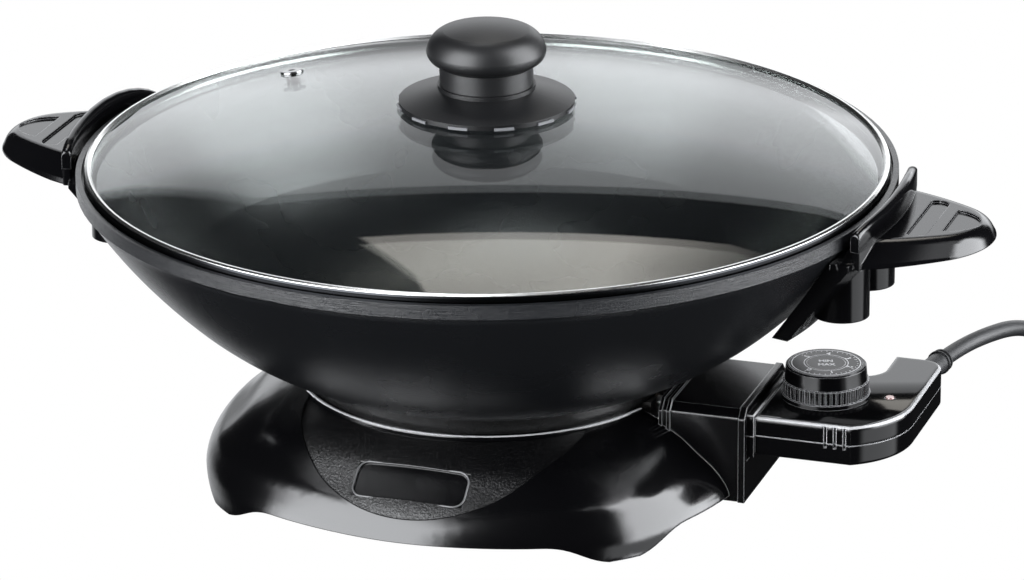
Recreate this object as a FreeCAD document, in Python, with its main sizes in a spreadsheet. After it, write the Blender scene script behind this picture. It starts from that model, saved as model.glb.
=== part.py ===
"""Electric wok: cast bowl on a plastic base, glass lid, plug-in thermostat controller.

Millimetres. The origin is on the bowl's axis at table level, +Z is up, +X points to the
controller, and -Y is the front.
"""
import FreeCAD, Part
import math
import os
import Sketcher
from FreeCAD import Placement, Rotation, Vector

doc = FreeCAD.newDocument("electric_wok")
sheet = doc.addObject("Spreadsheet::Sheet", "Sizes")

DRIVING_SIZES = {
    # cast bowl, heights above the table
    "rim_radius": 185,
    "rim_top": 144,
    "rim_band": 8,
    "rim_overhang": 1.8,
    "wall_middle_inset": 39.7,
    "wall_middle_height": 90,
    "wall_lower_bow": 166,
    "wall_upper_bow": 247,
    "wall_thickness": 3.6,
    "floor_under": 52,
    "floor_thickness": 4,
    "floor_radius": 60,
    "cavity_lower_bow": 140,
    "foot_radius": 84,
    "foot_width": 8,
    "foot_bottom": 45.5,
    "foot_depth": 7,
    "foot_taper": 1.5,
    "ledge_wall": 2.6,
    "ledge_width": 4.4,
    "ledge_depth": 3.5,
    "rib_radius": 64,
    "rib_half_width": 7,
    "centre_boss_radius": 7,
    "lug_half_width": 7,
    "lug_inset": 1.5,
    "lug_length": 23.5,
    "lug_bottom_drop": 22,
    "lug_top_drop": 13,
    "lug_spacing": 43,
    # heating element and what holds it
    "element_radius": 4,
    "element_height": 42,
    "element_bend": 10,
    "terminal_spacing": 22,
    "element_end": 84,
    "pin_radius": 3,
    "pin_tip": 116,
    "inlet_block_start": 76,
    "inlet_block_width": 44,
    "inlet_block_bottom": 34,
    "clamp_radius": 72,
    "clamp_thickness": 1.2,
    "clamp_gap": 0.2,
    "clamp_notch_start": 48,
    "clamp_notch_width": 17,
    "clamp_screw_radius": 2.5,
    "clamp_head_radius": 6,
    "clamp_head_height": 3,
    "clamp_screw_length": 9,
    "probe_radius": 4,
    "probe_tip": 52,
    "probe_boss_start": 54,
    "probe_boss_end": 70,
    "probe_boss_width": 13,
    "probe_boss_bottom": 36.2,
    "probe_clearance": 0.5,
    # glass lid
    "glass_edge_stand": 1.7,
    "glass_rise": 26.7,
    "glass_thickness": 3.8,
    "ring_clearance": 1,
    "ring_band": 2,
    "ring_cover": 3.5,
    "ring_height": 6.6,
    "ring_wall": 1,
    "lid_seat_gap": 0.3,
    "vent_distance": 121,
    "vent_bearing": 157,
    "vent_barrel_radius": 3,
    "vent_bore_radius": 1.6,
    "vent_flange_radius": 5.4,
    "vent_flange_height": 1.2,
    "lid_hole_radius": 3.4,
    "knob_seal_radius": 16,
    "knob_seal_thickness": 1.5,
    "skirt_radius": 39.5,
    "skirt_rim_lift": 0.4,
    "skirt_rim_height": 2.2,
    "skirt_rim_width": 1.8,
    "skirt_step_radius": 22,
    "skirt_cone_height": 5.4,
    "skirt_step_height": 1.9,
    "skirt_tab_width": 8.8,
    "skirt_tab_depth": 1,
    "skirt_tab_thickness": 0.8,
    "skirt_tab_count": 12,
    "knob_neck_radius": 21.1,
    "knob_neck_height": 8.9,
    "knob_radius": 26.9,
    "knob_flare_height": 7.1,
    "knob_crown_rise": 8.8,
    "knob_crown_radius": 19.5,
    "knob_button_rise": 2.6,
    "knob_insert_radius": 5,
    "knob_insert_length": 11,
    "knob_screw_radius": 2.4,
    "knob_screw_head": 5,
    "knob_washer_radius": 11,
    "knob_washer_thickness": 1.5,
    # handles
    "grip_inset": 11,
    "grip_length": 61,
    "grip_root_half_width": 52,
    "grip_bottom_drop": 14.5,
    "grip_top_drop": 5,
    "grip_lip": 2.5,
    "grip_tip_slant": 3.5,
    "grip_crown_round": 8,
    "grip_rise": 2,
    "grip_rise_length": 40,
    "grip_top_half_width": 39,
    "grip_side_bow": 150,
    "grip_tip_depth": 13,
    "grip_tip_share": 0.54,
    "window_depth": 1.1,
    "window_setback": 15.5,
    "window_length": 8.7,
    "window_half_width": 22.5,
    "window_gap": 5.5,
    "window_tip_inset": 6.5,
    "window_tip_half_width": 14.5,
    "guard_setback": 8,
    "guard_thickness": 4,
    "guard_stand": 3,
    "guard_angle": 29.5,
    "guard_end_round": 9,
    "guard_edge_round": 1,
    "bracket_drop": 53,
    "bracket_inset": 33.5,
    "bracket_thickness": 8,
    "bracket_angle": 32,
    "rim_clearance": 0.5,
    "handle_boss_inset": 13.5,
    "handle_boss_radius": 12.5,
    "handle_boss_drop": 46,
    "handle_screw_inset": 7.7,
    "handle_screw_radius": 1.9,
    "handle_screw_head": 3.8,
    "handle_screw_head_height": 2.8,
    "handle_web": 4,
    "handle_screw_length": 10,
    "lug_clearance": 0.4,
    # plastic base
    "skin_thickness": 2.6,
    "seat_radius": 86,
    "seat_opening_radius": 74,
    "bead_radius": 0.9,
    "bead_reach": 86.7,
    "bead_height": 44.9,
    "lobe_radius": 134.4,
    "side_radius": 127.5,
    "arch_height": 9.4,
    "arch_half_width": 96,
    "arch_flat_half_width": 63,
    "base_lift": 0.6,
    "foot_post_reach": 113,
    "foot_post_radius": 7.5,
    "foot_pad_thickness": 2.5,
    "base_screw_reach": 79.5,
    "base_screw_radius": 2,
    "base_screw_head": 3.6,
    "base_screw_head_height": 2.4,
    "base_screw_length": 8,
    "label_length": 51,
    "label_height": 16.5,
    "label_depth": 1.5,
    "label_slope": 36,
    "label_reach": 108.8,
    "label_centre_height": 30.7,
    "panel_radius": 66,
    "panel_reach": 56.5,
    "panel_depth": 0.7,
    # hood over the controller
    "hood_start": 91,
    "hood_face": 130,
    "hood_half_width": 32,
    "hood_wall": 2.5,
    "hood_top": 50.5,
    "hood_bottom": 7,
    "hood_sill": 26,
    "hood_bevel": 3.5,
    "hood_lip": 1,
    "hood_lip_length": 3,
    "hood_rib_width": 1.6,
    "hood_rib_gap": 2,
    # controller
    "housing_bottom": 28,
    "housing_top": 47,
    "parting_height": 37.6,
    "parting_gap": 0.15,
    "housing_near": 26.5,
    "housing_far": 29,
    "housing_wall": 2.6,
    "nose_start": 104,
    "nose_end": 134,
    "nose_half_width": 28.4,
    "nose_rise": 0.7,
    "elbow_start": 178,
    "elbow_end": 8,
    "elbow_bow": 39,
    "arm_outer": 198,
    "arm_inner": 174.5,
    "arm_end": 64.5,
    "arm_end_round": 9,
    "crook_depth": 46,
    "crook_reach": 168,
    "crook_start": 37,
    "crook_bow": 12,
    "housing_edge_round": 2,
    "grip_rib_spacing": 4.4,
    "grip_rib_start": 165.7,
    "grip_rib_width": 1.2,
    "grip_rib_depth": 0.8,
    "grip_rib_height": 10,
    "dial_inset": 40.7,
    "dial_offset": 6.6,
    "dial_radius": 19.4,
    "dial_flange_radius": 20,
    "dial_flange_height": 2.2,
    "dial_gap": 0.4,
    "dial_height": 15.4,
    "dial_top_radius": 18.1,
    "dial_knurl_height": 6,
    "dial_knurl_count": 48,
    "dial_knurl_depth": 0.7,
    "dial_wall": 2,
    "dial_face_radius": 16.4,
    "dial_face_thickness": 0.8,
    "spindle_radius": 3,
    "spindle_fit": 0.06,
    "spindle_hole_clearance": 0.6,
    "spindle_bottom": 41,
    "bush_radius": 5,
    "thermostat_width": 26,
    "thermostat_bottom": 30.8,
    "thermostat_top": 40.5,
    "bush_top": 43.5,
    "carrier_start": 101.5,
    "carrier_end": 118,
    "carrier_half_width": 17,
    "carrier_height": 9,
    "carrier_clearance": 0.3,
    "socket_radius": 4.2,
    "socket_bore": 3.3,
    "socket_end": 123,
    "probe_end": 124,
    "probe_flange_radius": 4.6,
    "probe_flange_thickness": 2.5,
    "lamp_inset": 12.6,
    "lamp_offset": 12.9,
    "lens_radius": 2.1,
    "lens_stand": 0.4,
    "lamp_radius": 1.7,
    "lamp_length": 5,
    "housing_screw_radius": 1.4,
    "housing_screw_head": 2.8,
    "housing_screw_length": 13,
    "screw_post_radius": 3.6,
    "relief_height": 39.2,
    "relief_start_x": 187.7,
    "relief_angle": 10,
    "relief_length": 23,
    "relief_radius": 4.9,
    "relief_end_radius": 4.5,
    "relief_ring_radius": 5.7,
    "relief_ring_width": 2,
    "relief_ring_spacing": 3.2,
    "cord_radius": 3.8,
    # coil and plug
    "coil_centre_x": 269.8,
    "coil_centre_y": 216,
    "coil_radius": 43,
    "plug_centre_x": 312.8,
    "plug_centre_height": 18.2,
    "plug_radius": 18,
    "plug_length": 36,
    "plug_neck_radius": 11,
    "plug_sleeve_length": 24,
    "plug_sleeve_radius": 6.5,
    "plug_sleeve_start_y": 172,
    "plug_pin_radius": 2.4,
    "plug_pin_spacing": 19,
    "plug_pin_length": 19,
    "tie_width": 6,
}

for row, (alias, number) in enumerate(DRIVING_SIZES.items(), start=1):
    sheet.set(f"A{row}", alias)
    sheet.set(f"B{row}", str(number))
    sheet.setAlias(f"B{row}", alias)
doc.recompute()


class Size:
    """A number from the sheet, kept together with the expression that gives it."""

    def __init__(self, number, text):
        self.number = float(number)
        self.text = text

    def __add__(self, other):
        other = as_size(other)
        return Size(self.number + other.number, f"({self.text} + {other.text})")

    def __radd__(self, other):
        return as_size(other) + self

    def __sub__(self, other):
        other = as_size(other)
        return Size(self.number - other.number, f"({self.text} - {other.text})")

    def __rsub__(self, other):
        return as_size(other) - self

    def __mul__(self, other):
        other = as_size(other)
        return Size(self.number * other.number, f"({self.text} * {other.text})")

    def __rmul__(self, other):
        return as_size(other) * self

    def __truediv__(self, other):
        other = as_size(other)
        return Size(self.number / other.number, f"({self.text} / {other.text})")

    def __neg__(self):
        return Size(-self.number, f"(0 - {self.text})")


def as_size(value):
    return value if isinstance(value, Size) else Size(value, repr(float(value)))


def square_root(size):
    return Size(math.sqrt(size.number), f"sqrt({size.text})")


def sine(size):
    return Size(math.sin(math.radians(size.number)), f"sin({size.text})")


def cosine(size):
    return Size(math.cos(math.radians(size.number)), f"cos({size.text})")


def dome(half_width, rise):
    """Radius of the arc that rises this far over this half width."""
    return (half_width * half_width + rise * rise) / (rise * 2)


class Sheet:
    """Gives each named size of the spreadsheet as an attribute."""

    def __getattr__(self, alias):
        return Size(sheet.get(alias), "Sizes." + alias)


s = Sheet()
parts = []


def bind(item, name, size):
    """Ties a property of a document object to a size."""
    size = as_size(size)
    item.setExpression(name, size.text)


def keep(item, label):
    """Names a document object as one of the wok's pieces."""
    item.Label = label
    parts.append(item)
    return item


def new_body(label):
    return keep(doc.addObject("PartDesign::Body", label), label)


def helper_body(label):
    body = doc.addObject("PartDesign::Body", label)
    body.Label = label
    return body


def origin_of(body, role):
    return next(item for item in body.Origin.OriginFeatures if item.Role == role)


def new_sketch(body, plane, lift=0):
    """Attaches an empty sketch to one of the body's own origin planes."""
    sketch = body.newObject("Sketcher::SketchObject", body.Name + "_sketch")
    sketch.AttachmentSupport = [(origin_of(body, plane), "")]
    sketch.MapMode = "FlatFace"
    lift = as_size(lift)
    if lift.number:
        sketch.AttachmentOffset = Placement(Vector(0, 0, lift.number), Rotation())
        bind(sketch, "AttachmentOffset.Base.z", lift)
    return sketch


def fix(sketch, kind, *where, size):
    """Adds one driving constraint, tied to its size."""
    index = sketch.addConstraint(Sketcher.Constraint(kind, *where, size.number))
    bind(sketch, f"Constraints[{index}]", size)


def fix_point(sketch, curve, end, x, y):
    """Places one end of a curve."""
    for kind, axis, size in (("DistanceX", -2, as_size(x)), ("DistanceY", -1, as_size(y))):
        if size.number == 0:
            sketch.addConstraint(Sketcher.Constraint("PointOnObject", curve, end, axis))
        else:
            fix(sketch, kind, -1, 1, curve, end, size=size)


def bow(radius, outward=True):
    """Bends the side that follows a corner into an arc."""
    return (as_size(radius), outward)


def turning(points):
    """Plus one for an outline that runs counter-clockwise, else minus one."""
    following = points[1:] + points[:1]
    area = sum(a[0] * b[1] - b[0] * a[1] for a, b in zip(points, following))
    return 1 if area > 0 else -1


def arc_between(start, end, radius, side):
    """Gives an arc's centre; it is on the left of the way along for side = 1."""
    chord = end - start
    height = math.sqrt(max(radius ** 2 - chord.Length ** 2 / 4, 0))
    left = Vector(-chord.y, chord.x, 0).normalize()
    return (start + end) / 2 + left * height * side


def draw(sketch, corners):
    """Draws a closed outline through corners (x, y) or (x, y, bow(...))."""
    points = [Vector(as_size(c[0]).number, as_size(c[1]).number, 0) for c in corners]
    way = turning([(p.x, p.y) for p in points])
    drawn = []
    for index, corner in enumerate(corners):
        start = points[index]
        end = points[(index + 1) % len(points)]
        if len(corner) == 2:
            curve = sketch.addGeometry(Part.LineSegment(start, end), False)
            drawn.append((curve, 1, 2))
            continue
        radius, outward = corner[2]
        side = way if outward else -way
        centre = arc_between(start, end, radius.number, side)
        first, last = (start, end) if side > 0 else (end, start)
        angles = [math.atan2(p.y - centre.y, p.x - centre.x) for p in (first, last)]
        circle = Part.Circle(centre, Vector(0, 0, 1), radius.number)
        curve = sketch.addGeometry(Part.ArcOfCircle(circle, *angles), False)
        drawn.append((curve, 1, 2) if side > 0 else (curve, 2, 1))
    for index, (curve, _, last) in enumerate(drawn):
        following, first, _ = drawn[(index + 1) % len(drawn)]
        sketch.addConstraint(Sketcher.Constraint("Coincident", curve, last, following, first))
    for (curve, first, _), corner in zip(drawn, corners):
        fix_point(sketch, curve, first, corner[0], corner[1])
        if len(corner) == 3:
            fix(sketch, "Radius", curve, size=corner[2][0])
    return sketch


def draw_circle(sketch, x, y, radius):
    centre = Vector(as_size(x).number, as_size(y).number, 0)
    radius = as_size(radius)
    curve = sketch.addGeometry(Part.Circle(centre, Vector(0, 0, 1), radius.number), False)
    fix_point(sketch, curve, 3, x, y)
    fix(sketch, "Radius", curve, size=radius)
    return sketch


def rectangle(x_low, x_high, y_low, y_high):
    return [(x_low, y_low), (x_high, y_low), (x_high, y_high), (x_low, y_high)]


def revolve(body, corners, angle=None, cut=False):
    """Turns a radius-height outline about the body's Z axis."""
    sketch = draw(new_sketch(body, "XZ_Plane"), corners)
    kind = "PartDesign::Groove" if cut else "PartDesign::Revolution"
    feature = body.newObject(kind, body.Name + "_turned")
    feature.Profile = sketch
    feature.ReferenceAxis = (sketch, ["V_Axis"])
    if angle is not None:
        feature.Midplane = True
        feature.Angle = angle.number
        bind(feature, "Angle", angle)
    doc.recompute()
    return feature


def extrude(body, sketch, length, cut=False, reverse=False, middle=False):
    """Pads a sketch, or pockets with it, over a length."""
    kind = "PartDesign::Pocket" if cut else "PartDesign::Pad"
    feature = body.newObject(kind, body.Name + ("_cut" if cut else "_pad"))
    feature.Profile = sketch
    feature.Length = as_size(length).number
    bind(feature, "Length", length)
    if middle:
        feature.SideType = "Symmetric"
    # A pocket runs against its sketch's normal unless it is reversed.
    feature.Reversed = (not reverse) if cut else reverse
    doc.recompute()
    return feature


def block(body, x_low, x_high, y_low, y_high, z_low, z_high, cut=False):
    """Adds or cuts a straight-sided block."""
    sketch = draw(new_sketch(body, "XY_Plane", z_low), rectangle(x_low, x_high, y_low, y_high))
    return extrude(body, sketch, as_size(z_high) - z_low, cut=cut)


def column(body, x, y, radius, z_low, z_high, cut=False):
    """Adds or cuts an upright cylinder."""
    sketch = draw_circle(new_sketch(body, "XY_Plane", z_low), x, y, radius)
    return extrude(body, sketch, as_size(z_high) - z_low, cut=cut)


def bar(body, y, z, radius, x_low, x_high, cut=False):
    """Adds or cuts a cylinder that lies along X."""
    sketch = draw_circle(new_sketch(body, "YZ_Plane", x_low), y, z, radius)
    return extrude(body, sketch, as_size(x_high) - x_low, cut=cut)


def around(body, features, count):
    """Repeats features evenly about the Z axis."""
    pattern = body.newObject("PartDesign::PolarPattern", body.Name + "_ring")
    pattern.Originals = features
    pattern.Axis = (origin_of(body, "Z_Axis"), [""])
    pattern.Angle = 360
    pattern.Occurrences = int(as_size(count).number)
    bind(pattern, "Occurrences", count)
    body.Tip = pattern
    doc.recompute()
    return pattern


def edges_where(feature, test):
    return [f"Edge{n}" for n, edge in enumerate(feature.Shape.Edges, start=1) if test(edge)]


def soften(body, feature, test, size, kind="PartDesign::Fillet"):
    """Rounds or bevels the edges that pass the test."""
    finish = body.newObject(kind, body.Name + "_edges")
    finish.Base = (feature, edges_where(feature, test))
    name = "Radius" if kind.endswith("Fillet") else "Size"
    setattr(finish, name, size.number)
    bind(finish, name, size)
    doc.recompute()
    return finish


def edge_at(height, low=None):
    """A test for edges that lie flat at one height."""
    def test(edge):
        box = edge.BoundBox
        level = abs(box.ZMin - height.number) < 1e-4 and abs(box.ZMax - height.number) < 1e-4
        return level and (low is None or low(edge))
    return test


def place(item, x, y, z, rotation=None):
    """Moves a piece that is modelled about its own origin to its seat."""
    item.Placement = Placement(Vector(0, 0, 0), rotation or Rotation())
    for axis, size in zip("xyz", (x, y, z)):
        bind(item, "Placement.Base." + axis, size)


# ---------------------------------------------------------------- shared sizes

# reaches that follow the bowl's rim
wall_middle_radius = s.rim_radius - s.wall_middle_inset
ledge_radius = s.rim_radius - s.ledge_wall
ledge_inner_radius = ledge_radius - s.ledge_width
lug_reach = s.rim_radius - s.lug_inset
lug_root = lug_reach - s.lug_length
ring_radius = ledge_radius - s.ring_clearance
glass_radius = ring_radius - s.ring_band
ring_inner_radius = ring_radius - s.ring_cover
grip_root = s.rim_radius - s.grip_inset
grip_tip = grip_root + s.grip_length
grip_top_tip = grip_tip - s.grip_tip_slant
window_start = s.rim_radius + s.window_setback
window_tip = grip_tip - s.window_tip_inset
guard_radius = s.rim_radius + s.guard_setback
bracket_inner_radius = s.rim_radius - s.bracket_inset
handle_boss_reach = s.rim_radius - s.handle_boss_inset
handle_screw_reach = s.rim_radius - s.handle_screw_inset

# reaches inside the controller
dial_reach = s.arm_outer - s.dial_inset
lamp_reach = s.arm_outer - s.lamp_inset

# heights that follow the bowl's rim
glass_edge_top = s.rim_top + s.glass_edge_stand
grip_bottom = s.rim_top - s.grip_bottom_drop
grip_top = s.rim_top - s.grip_top_drop
guard_top = s.rim_top + s.guard_stand
bracket_bottom = s.rim_top - s.bracket_drop
lug_bottom = s.rim_top - s.lug_bottom_drop
lug_top = s.rim_top - s.lug_top_drop
handle_boss_bottom = s.rim_top - s.handle_boss_drop

# other heights
floor_top = s.floor_under + s.floor_thickness
band_bottom = s.rim_top - s.rim_band
ledge_height = s.rim_top - s.ledge_depth
wall_top_radius = s.rim_radius - s.rim_overhang
element_bottom = s.element_height - s.element_radius
element_top = s.element_height + s.element_radius
rib_bottom = element_top + s.clamp_gap
clamp_top = element_bottom - s.clamp_gap
clamp_bottom = clamp_top - s.clamp_thickness
half_terminal = s.terminal_spacing / 2
half_lugs = s.lug_spacing / 2
glass_apex = glass_edge_top + s.glass_rise
skirt_rim_bottom = glass_apex - s.skirt_rim_lift
skirt_rim_top = skirt_rim_bottom + s.skirt_rim_height
skirt_cone_top = skirt_rim_top + s.skirt_cone_height
skirt_top = skirt_cone_top + s.skirt_step_height
knob_neck_top = skirt_top + s.knob_neck_height
knob_widest_height = knob_neck_top + s.knob_flare_height
knob_crown_height = knob_widest_height + s.knob_crown_rise
knob_top = knob_crown_height + s.knob_button_rise
glass_bow = (glass_radius * glass_radius + s.glass_rise * s.glass_rise) / (s.glass_rise * 2)
glass_centre = glass_apex - glass_bow
glass_inner_bow = glass_bow - s.glass_thickness
ring_bottom = ledge_height + s.lid_seat_gap
ring_top = ring_bottom + s.ring_height
dial_bottom = s.housing_top + s.dial_gap
dial_top = dial_bottom + s.dial_height


# ---------------------------------------------------------------- bowl

def bowl_outside():
    """Half section of the bowl's outside, with foot, element rib and centre boss."""
    foot_inner = s.foot_radius - s.foot_width
    return [
        (0, clamp_top),
        (s.centre_boss_radius, clamp_top),
        (s.centre_boss_radius, s.floor_under),
        (s.rib_radius - s.rib_half_width, s.floor_under),
        (s.rib_radius - s.rib_half_width, rib_bottom),
        (s.rib_radius + s.rib_half_width, rib_bottom),
        (s.rib_radius + s.rib_half_width, s.floor_under),
        (foot_inner, s.floor_under),
        (foot_inner, s.foot_bottom),
        (s.foot_radius, s.foot_bottom),
        (s.foot_radius + s.foot_taper, s.foot_bottom + s.foot_depth, bow(s.wall_lower_bow)),
        (wall_middle_radius, s.wall_middle_height, bow(s.wall_upper_bow)),
        (wall_top_radius, band_bottom),
        (s.rim_radius, band_bottom + s.rim_overhang),
        (s.rim_radius, s.rim_top),
        (0, s.rim_top),
    ]


def bowl_inside():
    """Half section of the cooking space and of the ledge that seats the lid."""
    slant = math.sqrt(0.5)
    return [
        (0, floor_top),
        (s.floor_radius, floor_top, bow(s.cavity_lower_bow)),
        (wall_middle_radius - s.wall_thickness * slant,
         s.wall_middle_height + s.wall_thickness * slant, bow(s.wall_upper_bow)),
        (ledge_inner_radius, ledge_height),
        (ledge_radius, ledge_height),
        (ledge_radius, s.rim_top),
        (0, s.rim_top),
    ]


def make_bowl():
    body = new_body("wok_bowl")
    revolve(body, bowl_outside())
    for side in (1, -1):
        for reach in (1, -1):
            near = min((lug_root * reach, lug_reach * reach), key=lambda size: size.number)
            far = max((lug_root * reach, lug_reach * reach), key=lambda size: size.number)
            middle = half_lugs * side
            block(body, near, far, middle - s.lug_half_width, middle + s.lug_half_width,
                  lug_bottom, lug_top)
    half_boss = s.probe_boss_width / 2
    block(body, s.probe_boss_start, s.probe_boss_end, -half_boss, half_boss,
          s.probe_boss_bottom, s.floor_under)
    bar(body, 0, s.element_height, s.probe_radius + s.probe_clearance,
        s.probe_boss_start, s.probe_boss_end, cut=True)
    foot_inner = s.foot_radius - s.foot_width
    foot_outer = s.foot_radius + s.foot_taper
    for y in (half_terminal, -half_terminal):
        bar(body, y, s.element_height, s.element_radius + s.clamp_gap,
            foot_inner - s.foot_taper, foot_outer, cut=True)
    bar(body, 0, s.element_height, s.probe_radius + s.probe_clearance,
        foot_inner - s.foot_taper, foot_outer, cut=True)
    revolve(body, bowl_inside(), cut=True)
    screw_end = lug_bottom + s.handle_screw_length - s.handle_web
    for x in (handle_screw_reach, -handle_screw_reach):
        for y in (half_lugs, -half_lugs):
            column(body, x, y, s.handle_screw_radius, lug_bottom, screw_end, cut=True)
    column(body, 0, 0, s.clamp_screw_radius, clamp_top,
           clamp_bottom + s.clamp_screw_length, cut=True)
    diagonal = s.base_screw_reach * math.sqrt(0.5)
    hole = column(body, diagonal, diagonal, s.base_screw_radius, s.foot_bottom,
                  s.foot_bottom + s.base_screw_length - s.skin_thickness, cut=True)
    around(body, [hole], 4)


# ---------------------------------------------------------------- heating element

def element_route():
    """Plan of the element: a ring whose two ends turn out side by side to the inlet."""
    ring = s.rib_radius.number
    bend = s.element_bend.number
    end_y = half_terminal.number
    end_x = s.element_end.number
    bend_x = math.sqrt((ring + bend) ** 2 - (end_y + bend) ** 2)
    join = Vector(bend_x, end_y + bend, 0) * (ring / (ring + bend))
    turn = math.atan2(bend - (end_y + bend - join.y), -(bend_x - join.x))
    middle = Vector(bend_x, end_y + bend, 0)
    half_way = middle + Vector(-1, -0.45, 0).normalize() * bend
    mirror = lambda point: Vector(point.x, -point.y, 0)
    edges = [
        Part.LineSegment(Vector(end_x, end_y, 0), Vector(bend_x, end_y, 0)).toShape(),
        Part.Arc(Vector(bend_x, end_y, 0), half_way, join).toShape(),
        Part.Arc(join, Vector(-ring, 0, 0), mirror(join)).toShape(),
        Part.Arc(mirror(join), mirror(half_way), Vector(bend_x, -end_y, 0)).toShape(),
        Part.LineSegment(Vector(bend_x, -end_y, 0), Vector(end_x, -end_y, 0)).toShape(),
    ]
    return Part.Wire(edges)


def make_element():
    """Sheathed tube, swept along its plan."""
    section = Part.Face(Part.Wire(Part.makeCircle(
        s.element_radius.number, Vector(s.element_end.number, half_terminal.number, 0),
        Vector(1, 0, 0))))
    element = doc.addObject("Part::Feature", "heating_element")
    element.Shape = element_route().makePipe(section)
    keep(element, "heating_element")
    place(element, 0, 0, s.element_height)


def make_terminal_pins():
    """Two round pins with domed tips, on the ends of the element."""
    body = new_body("terminal_pins")
    tip = s.pin_radius
    shaft = s.pin_tip - s.element_end - tip
    for y in (half_terminal, -half_terminal):
        pin = bar(body, y, s.element_height, s.pin_radius, s.element_end,
                  s.element_end + shaft + tip)
        soften(body, pin, lambda edge: edge.BoundBox.XMin > s.pin_tip.number - 1e-4
               and edge.BoundBox.YMin * y.number > 0, tip * 0.6)


def make_inlet_block():
    """Ceramic block that holds the element's ends under the bowl's foot."""
    body = new_body("inlet_block")
    half = s.inlet_block_width / 2
    block(body, s.inlet_block_start, s.element_end, -half, half,
          s.inlet_block_bottom, s.foot_bottom)
    for y in (half_terminal, -half_terminal):
        bar(body, y, s.element_height, s.element_radius + s.rim_clearance / 5,
            s.inlet_block_start, s.element_end, cut=True)
    bar(body, 0, s.element_height, s.probe_radius + s.probe_clearance * 2,
        s.inlet_block_start, s.element_end, cut=True)


def make_clamp_plate():
    """Pressed plate that holds the element against its rib."""
    body = new_body("element_clamp_plate")
    hole = s.clamp_screw_radius + s.rim_clearance
    rim = s.clamp_radius
    lift = s.clamp_thickness * 2
    revolve(body, [
        (hole, clamp_bottom),
        (rim, clamp_bottom),
        (rim + lift, clamp_bottom - lift),
        (rim + lift + s.clamp_thickness, clamp_bottom - lift),
        (rim + lift / 2, clamp_top),
        (hole, clamp_top),
    ])
    half = s.clamp_notch_width / 2
    block(body, s.clamp_notch_start, rim + lift * 2, -half, half,
          clamp_bottom - lift * 2, clamp_top, cut=True)


def turned_screw(body, head_radius, head_height, shank_radius, length):
    """Screw about Z with its head below the seat plane, z = 0."""
    rounding = head_height / 2
    return revolve(body, [
        (0, -head_height),
        (head_radius - rounding, -head_height, bow(rounding)),
        (head_radius, -head_height + rounding),
        (head_radius, 0),
        (shank_radius, 0),
        (shank_radius, length - shank_radius / 2),
        (shank_radius / 2, length),
        (0, length),
    ])


def cross_recess(body, width, depth, head_height):
    """Cuts the driver's cross into a screw head."""
    arm = width * 2
    for half_x, half_y in ((arm, width / 2), (width / 2, arm)):
        block(body, -half_x, half_x, -half_y, half_y, -head_height, depth - head_height,
              cut=True)


def make_clamp_screw():
    body = new_body("clamp_screw")
    turned_screw(body, s.clamp_head_radius, s.clamp_head_height,
                 s.clamp_screw_radius - s.clamp_gap / 4, s.clamp_screw_length)
    cross_recess(body, s.clamp_head_radius / 4, s.clamp_head_height / 2, s.clamp_head_height)
    place(body, 0, 0, clamp_bottom)


def seated(label, make_one, seats):
    """One kind of piece at several seats, kept as a group of separate solids."""
    bodies = []
    for x, y, z in seats:
        body = helper_body(label + "_single")
        make_one(body)
        place(body, x, y, z)
        bodies.append(body)
    group = doc.addObject("Part::Compound", label)
    group.Links = bodies
    keep(group, label)
    doc.recompute()
    return group


# ---------------------------------------------------------------- lid

def glass_height(distance, bow_radius):
    """Height of the dome at a distance from the axis."""
    return glass_centre + square_root(bow_radius * bow_radius - distance * distance)


def make_lid_glass():
    body = new_body("lid_glass")
    hole = s.lid_hole_radius
    edge = glass_radius
    revolve(body, [
        (hole, glass_height(hole, glass_inner_bow), bow(glass_inner_bow, outward=False)),
        (edge, glass_height(edge, glass_inner_bow)),
        (edge, glass_height(edge, glass_bow), bow(glass_bow)),
        (hole, glass_height(hole, glass_bow)),
    ])
    sketch = new_sketch(body, "XY_Plane")
    draw_circle(sketch, 0, 0, s.vent_barrel_radius + s.lid_seat_gap)
    seat = vent_seat()
    sketch.AttachmentOffset = Placement(seat[0], seat[1])
    for axis, size in zip("xyz", vent_place()):
        bind(sketch, "AttachmentOffset.Base." + axis, size)
    hole_cut = extrude(body, sketch, s.glass_thickness * 4, cut=True, middle=True)
    return hole_cut


def vent_place():
    """Where the vent's axis meets the top of the glass."""
    return (s.vent_distance * cosine(s.vent_bearing), s.vent_distance * sine(s.vent_bearing),
            glass_height(s.vent_distance, glass_bow))


def vent_seat():
    """The vent's place on the dome, and the turn that makes it square to the glass."""
    x, y, z = (size.number for size in vent_place())
    outward = Vector(x, y, z - glass_centre.number)
    return Vector(x, y, z), Rotation(Vector(0, 0, 1), outward)


def make_steam_vent():
    """Eyelet through the glass, square to the dome."""
    body = new_body("steam_vent")
    flange = s.vent_flange_height
    crown = s.vent_flange_radius - flange / 2
    under = -s.glass_thickness
    revolve(body, [
        (s.vent_bore_radius, under - flange),
        (s.vent_flange_radius, under - flange),
        (s.vent_flange_radius, under - s.lid_seat_gap / 3),
        (s.vent_barrel_radius, under - s.lid_seat_gap / 3),
        (s.vent_barrel_radius, s.lid_seat_gap / 3),
        (s.vent_flange_radius, s.lid_seat_gap / 3),
        (s.vent_flange_radius, flange / 2, bow(flange / 2)),
        (crown, flange),
        (s.vent_bore_radius, flange),
    ])
    seat = vent_seat()
    place(body, *vent_place(), rotation=seat[1])


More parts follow.
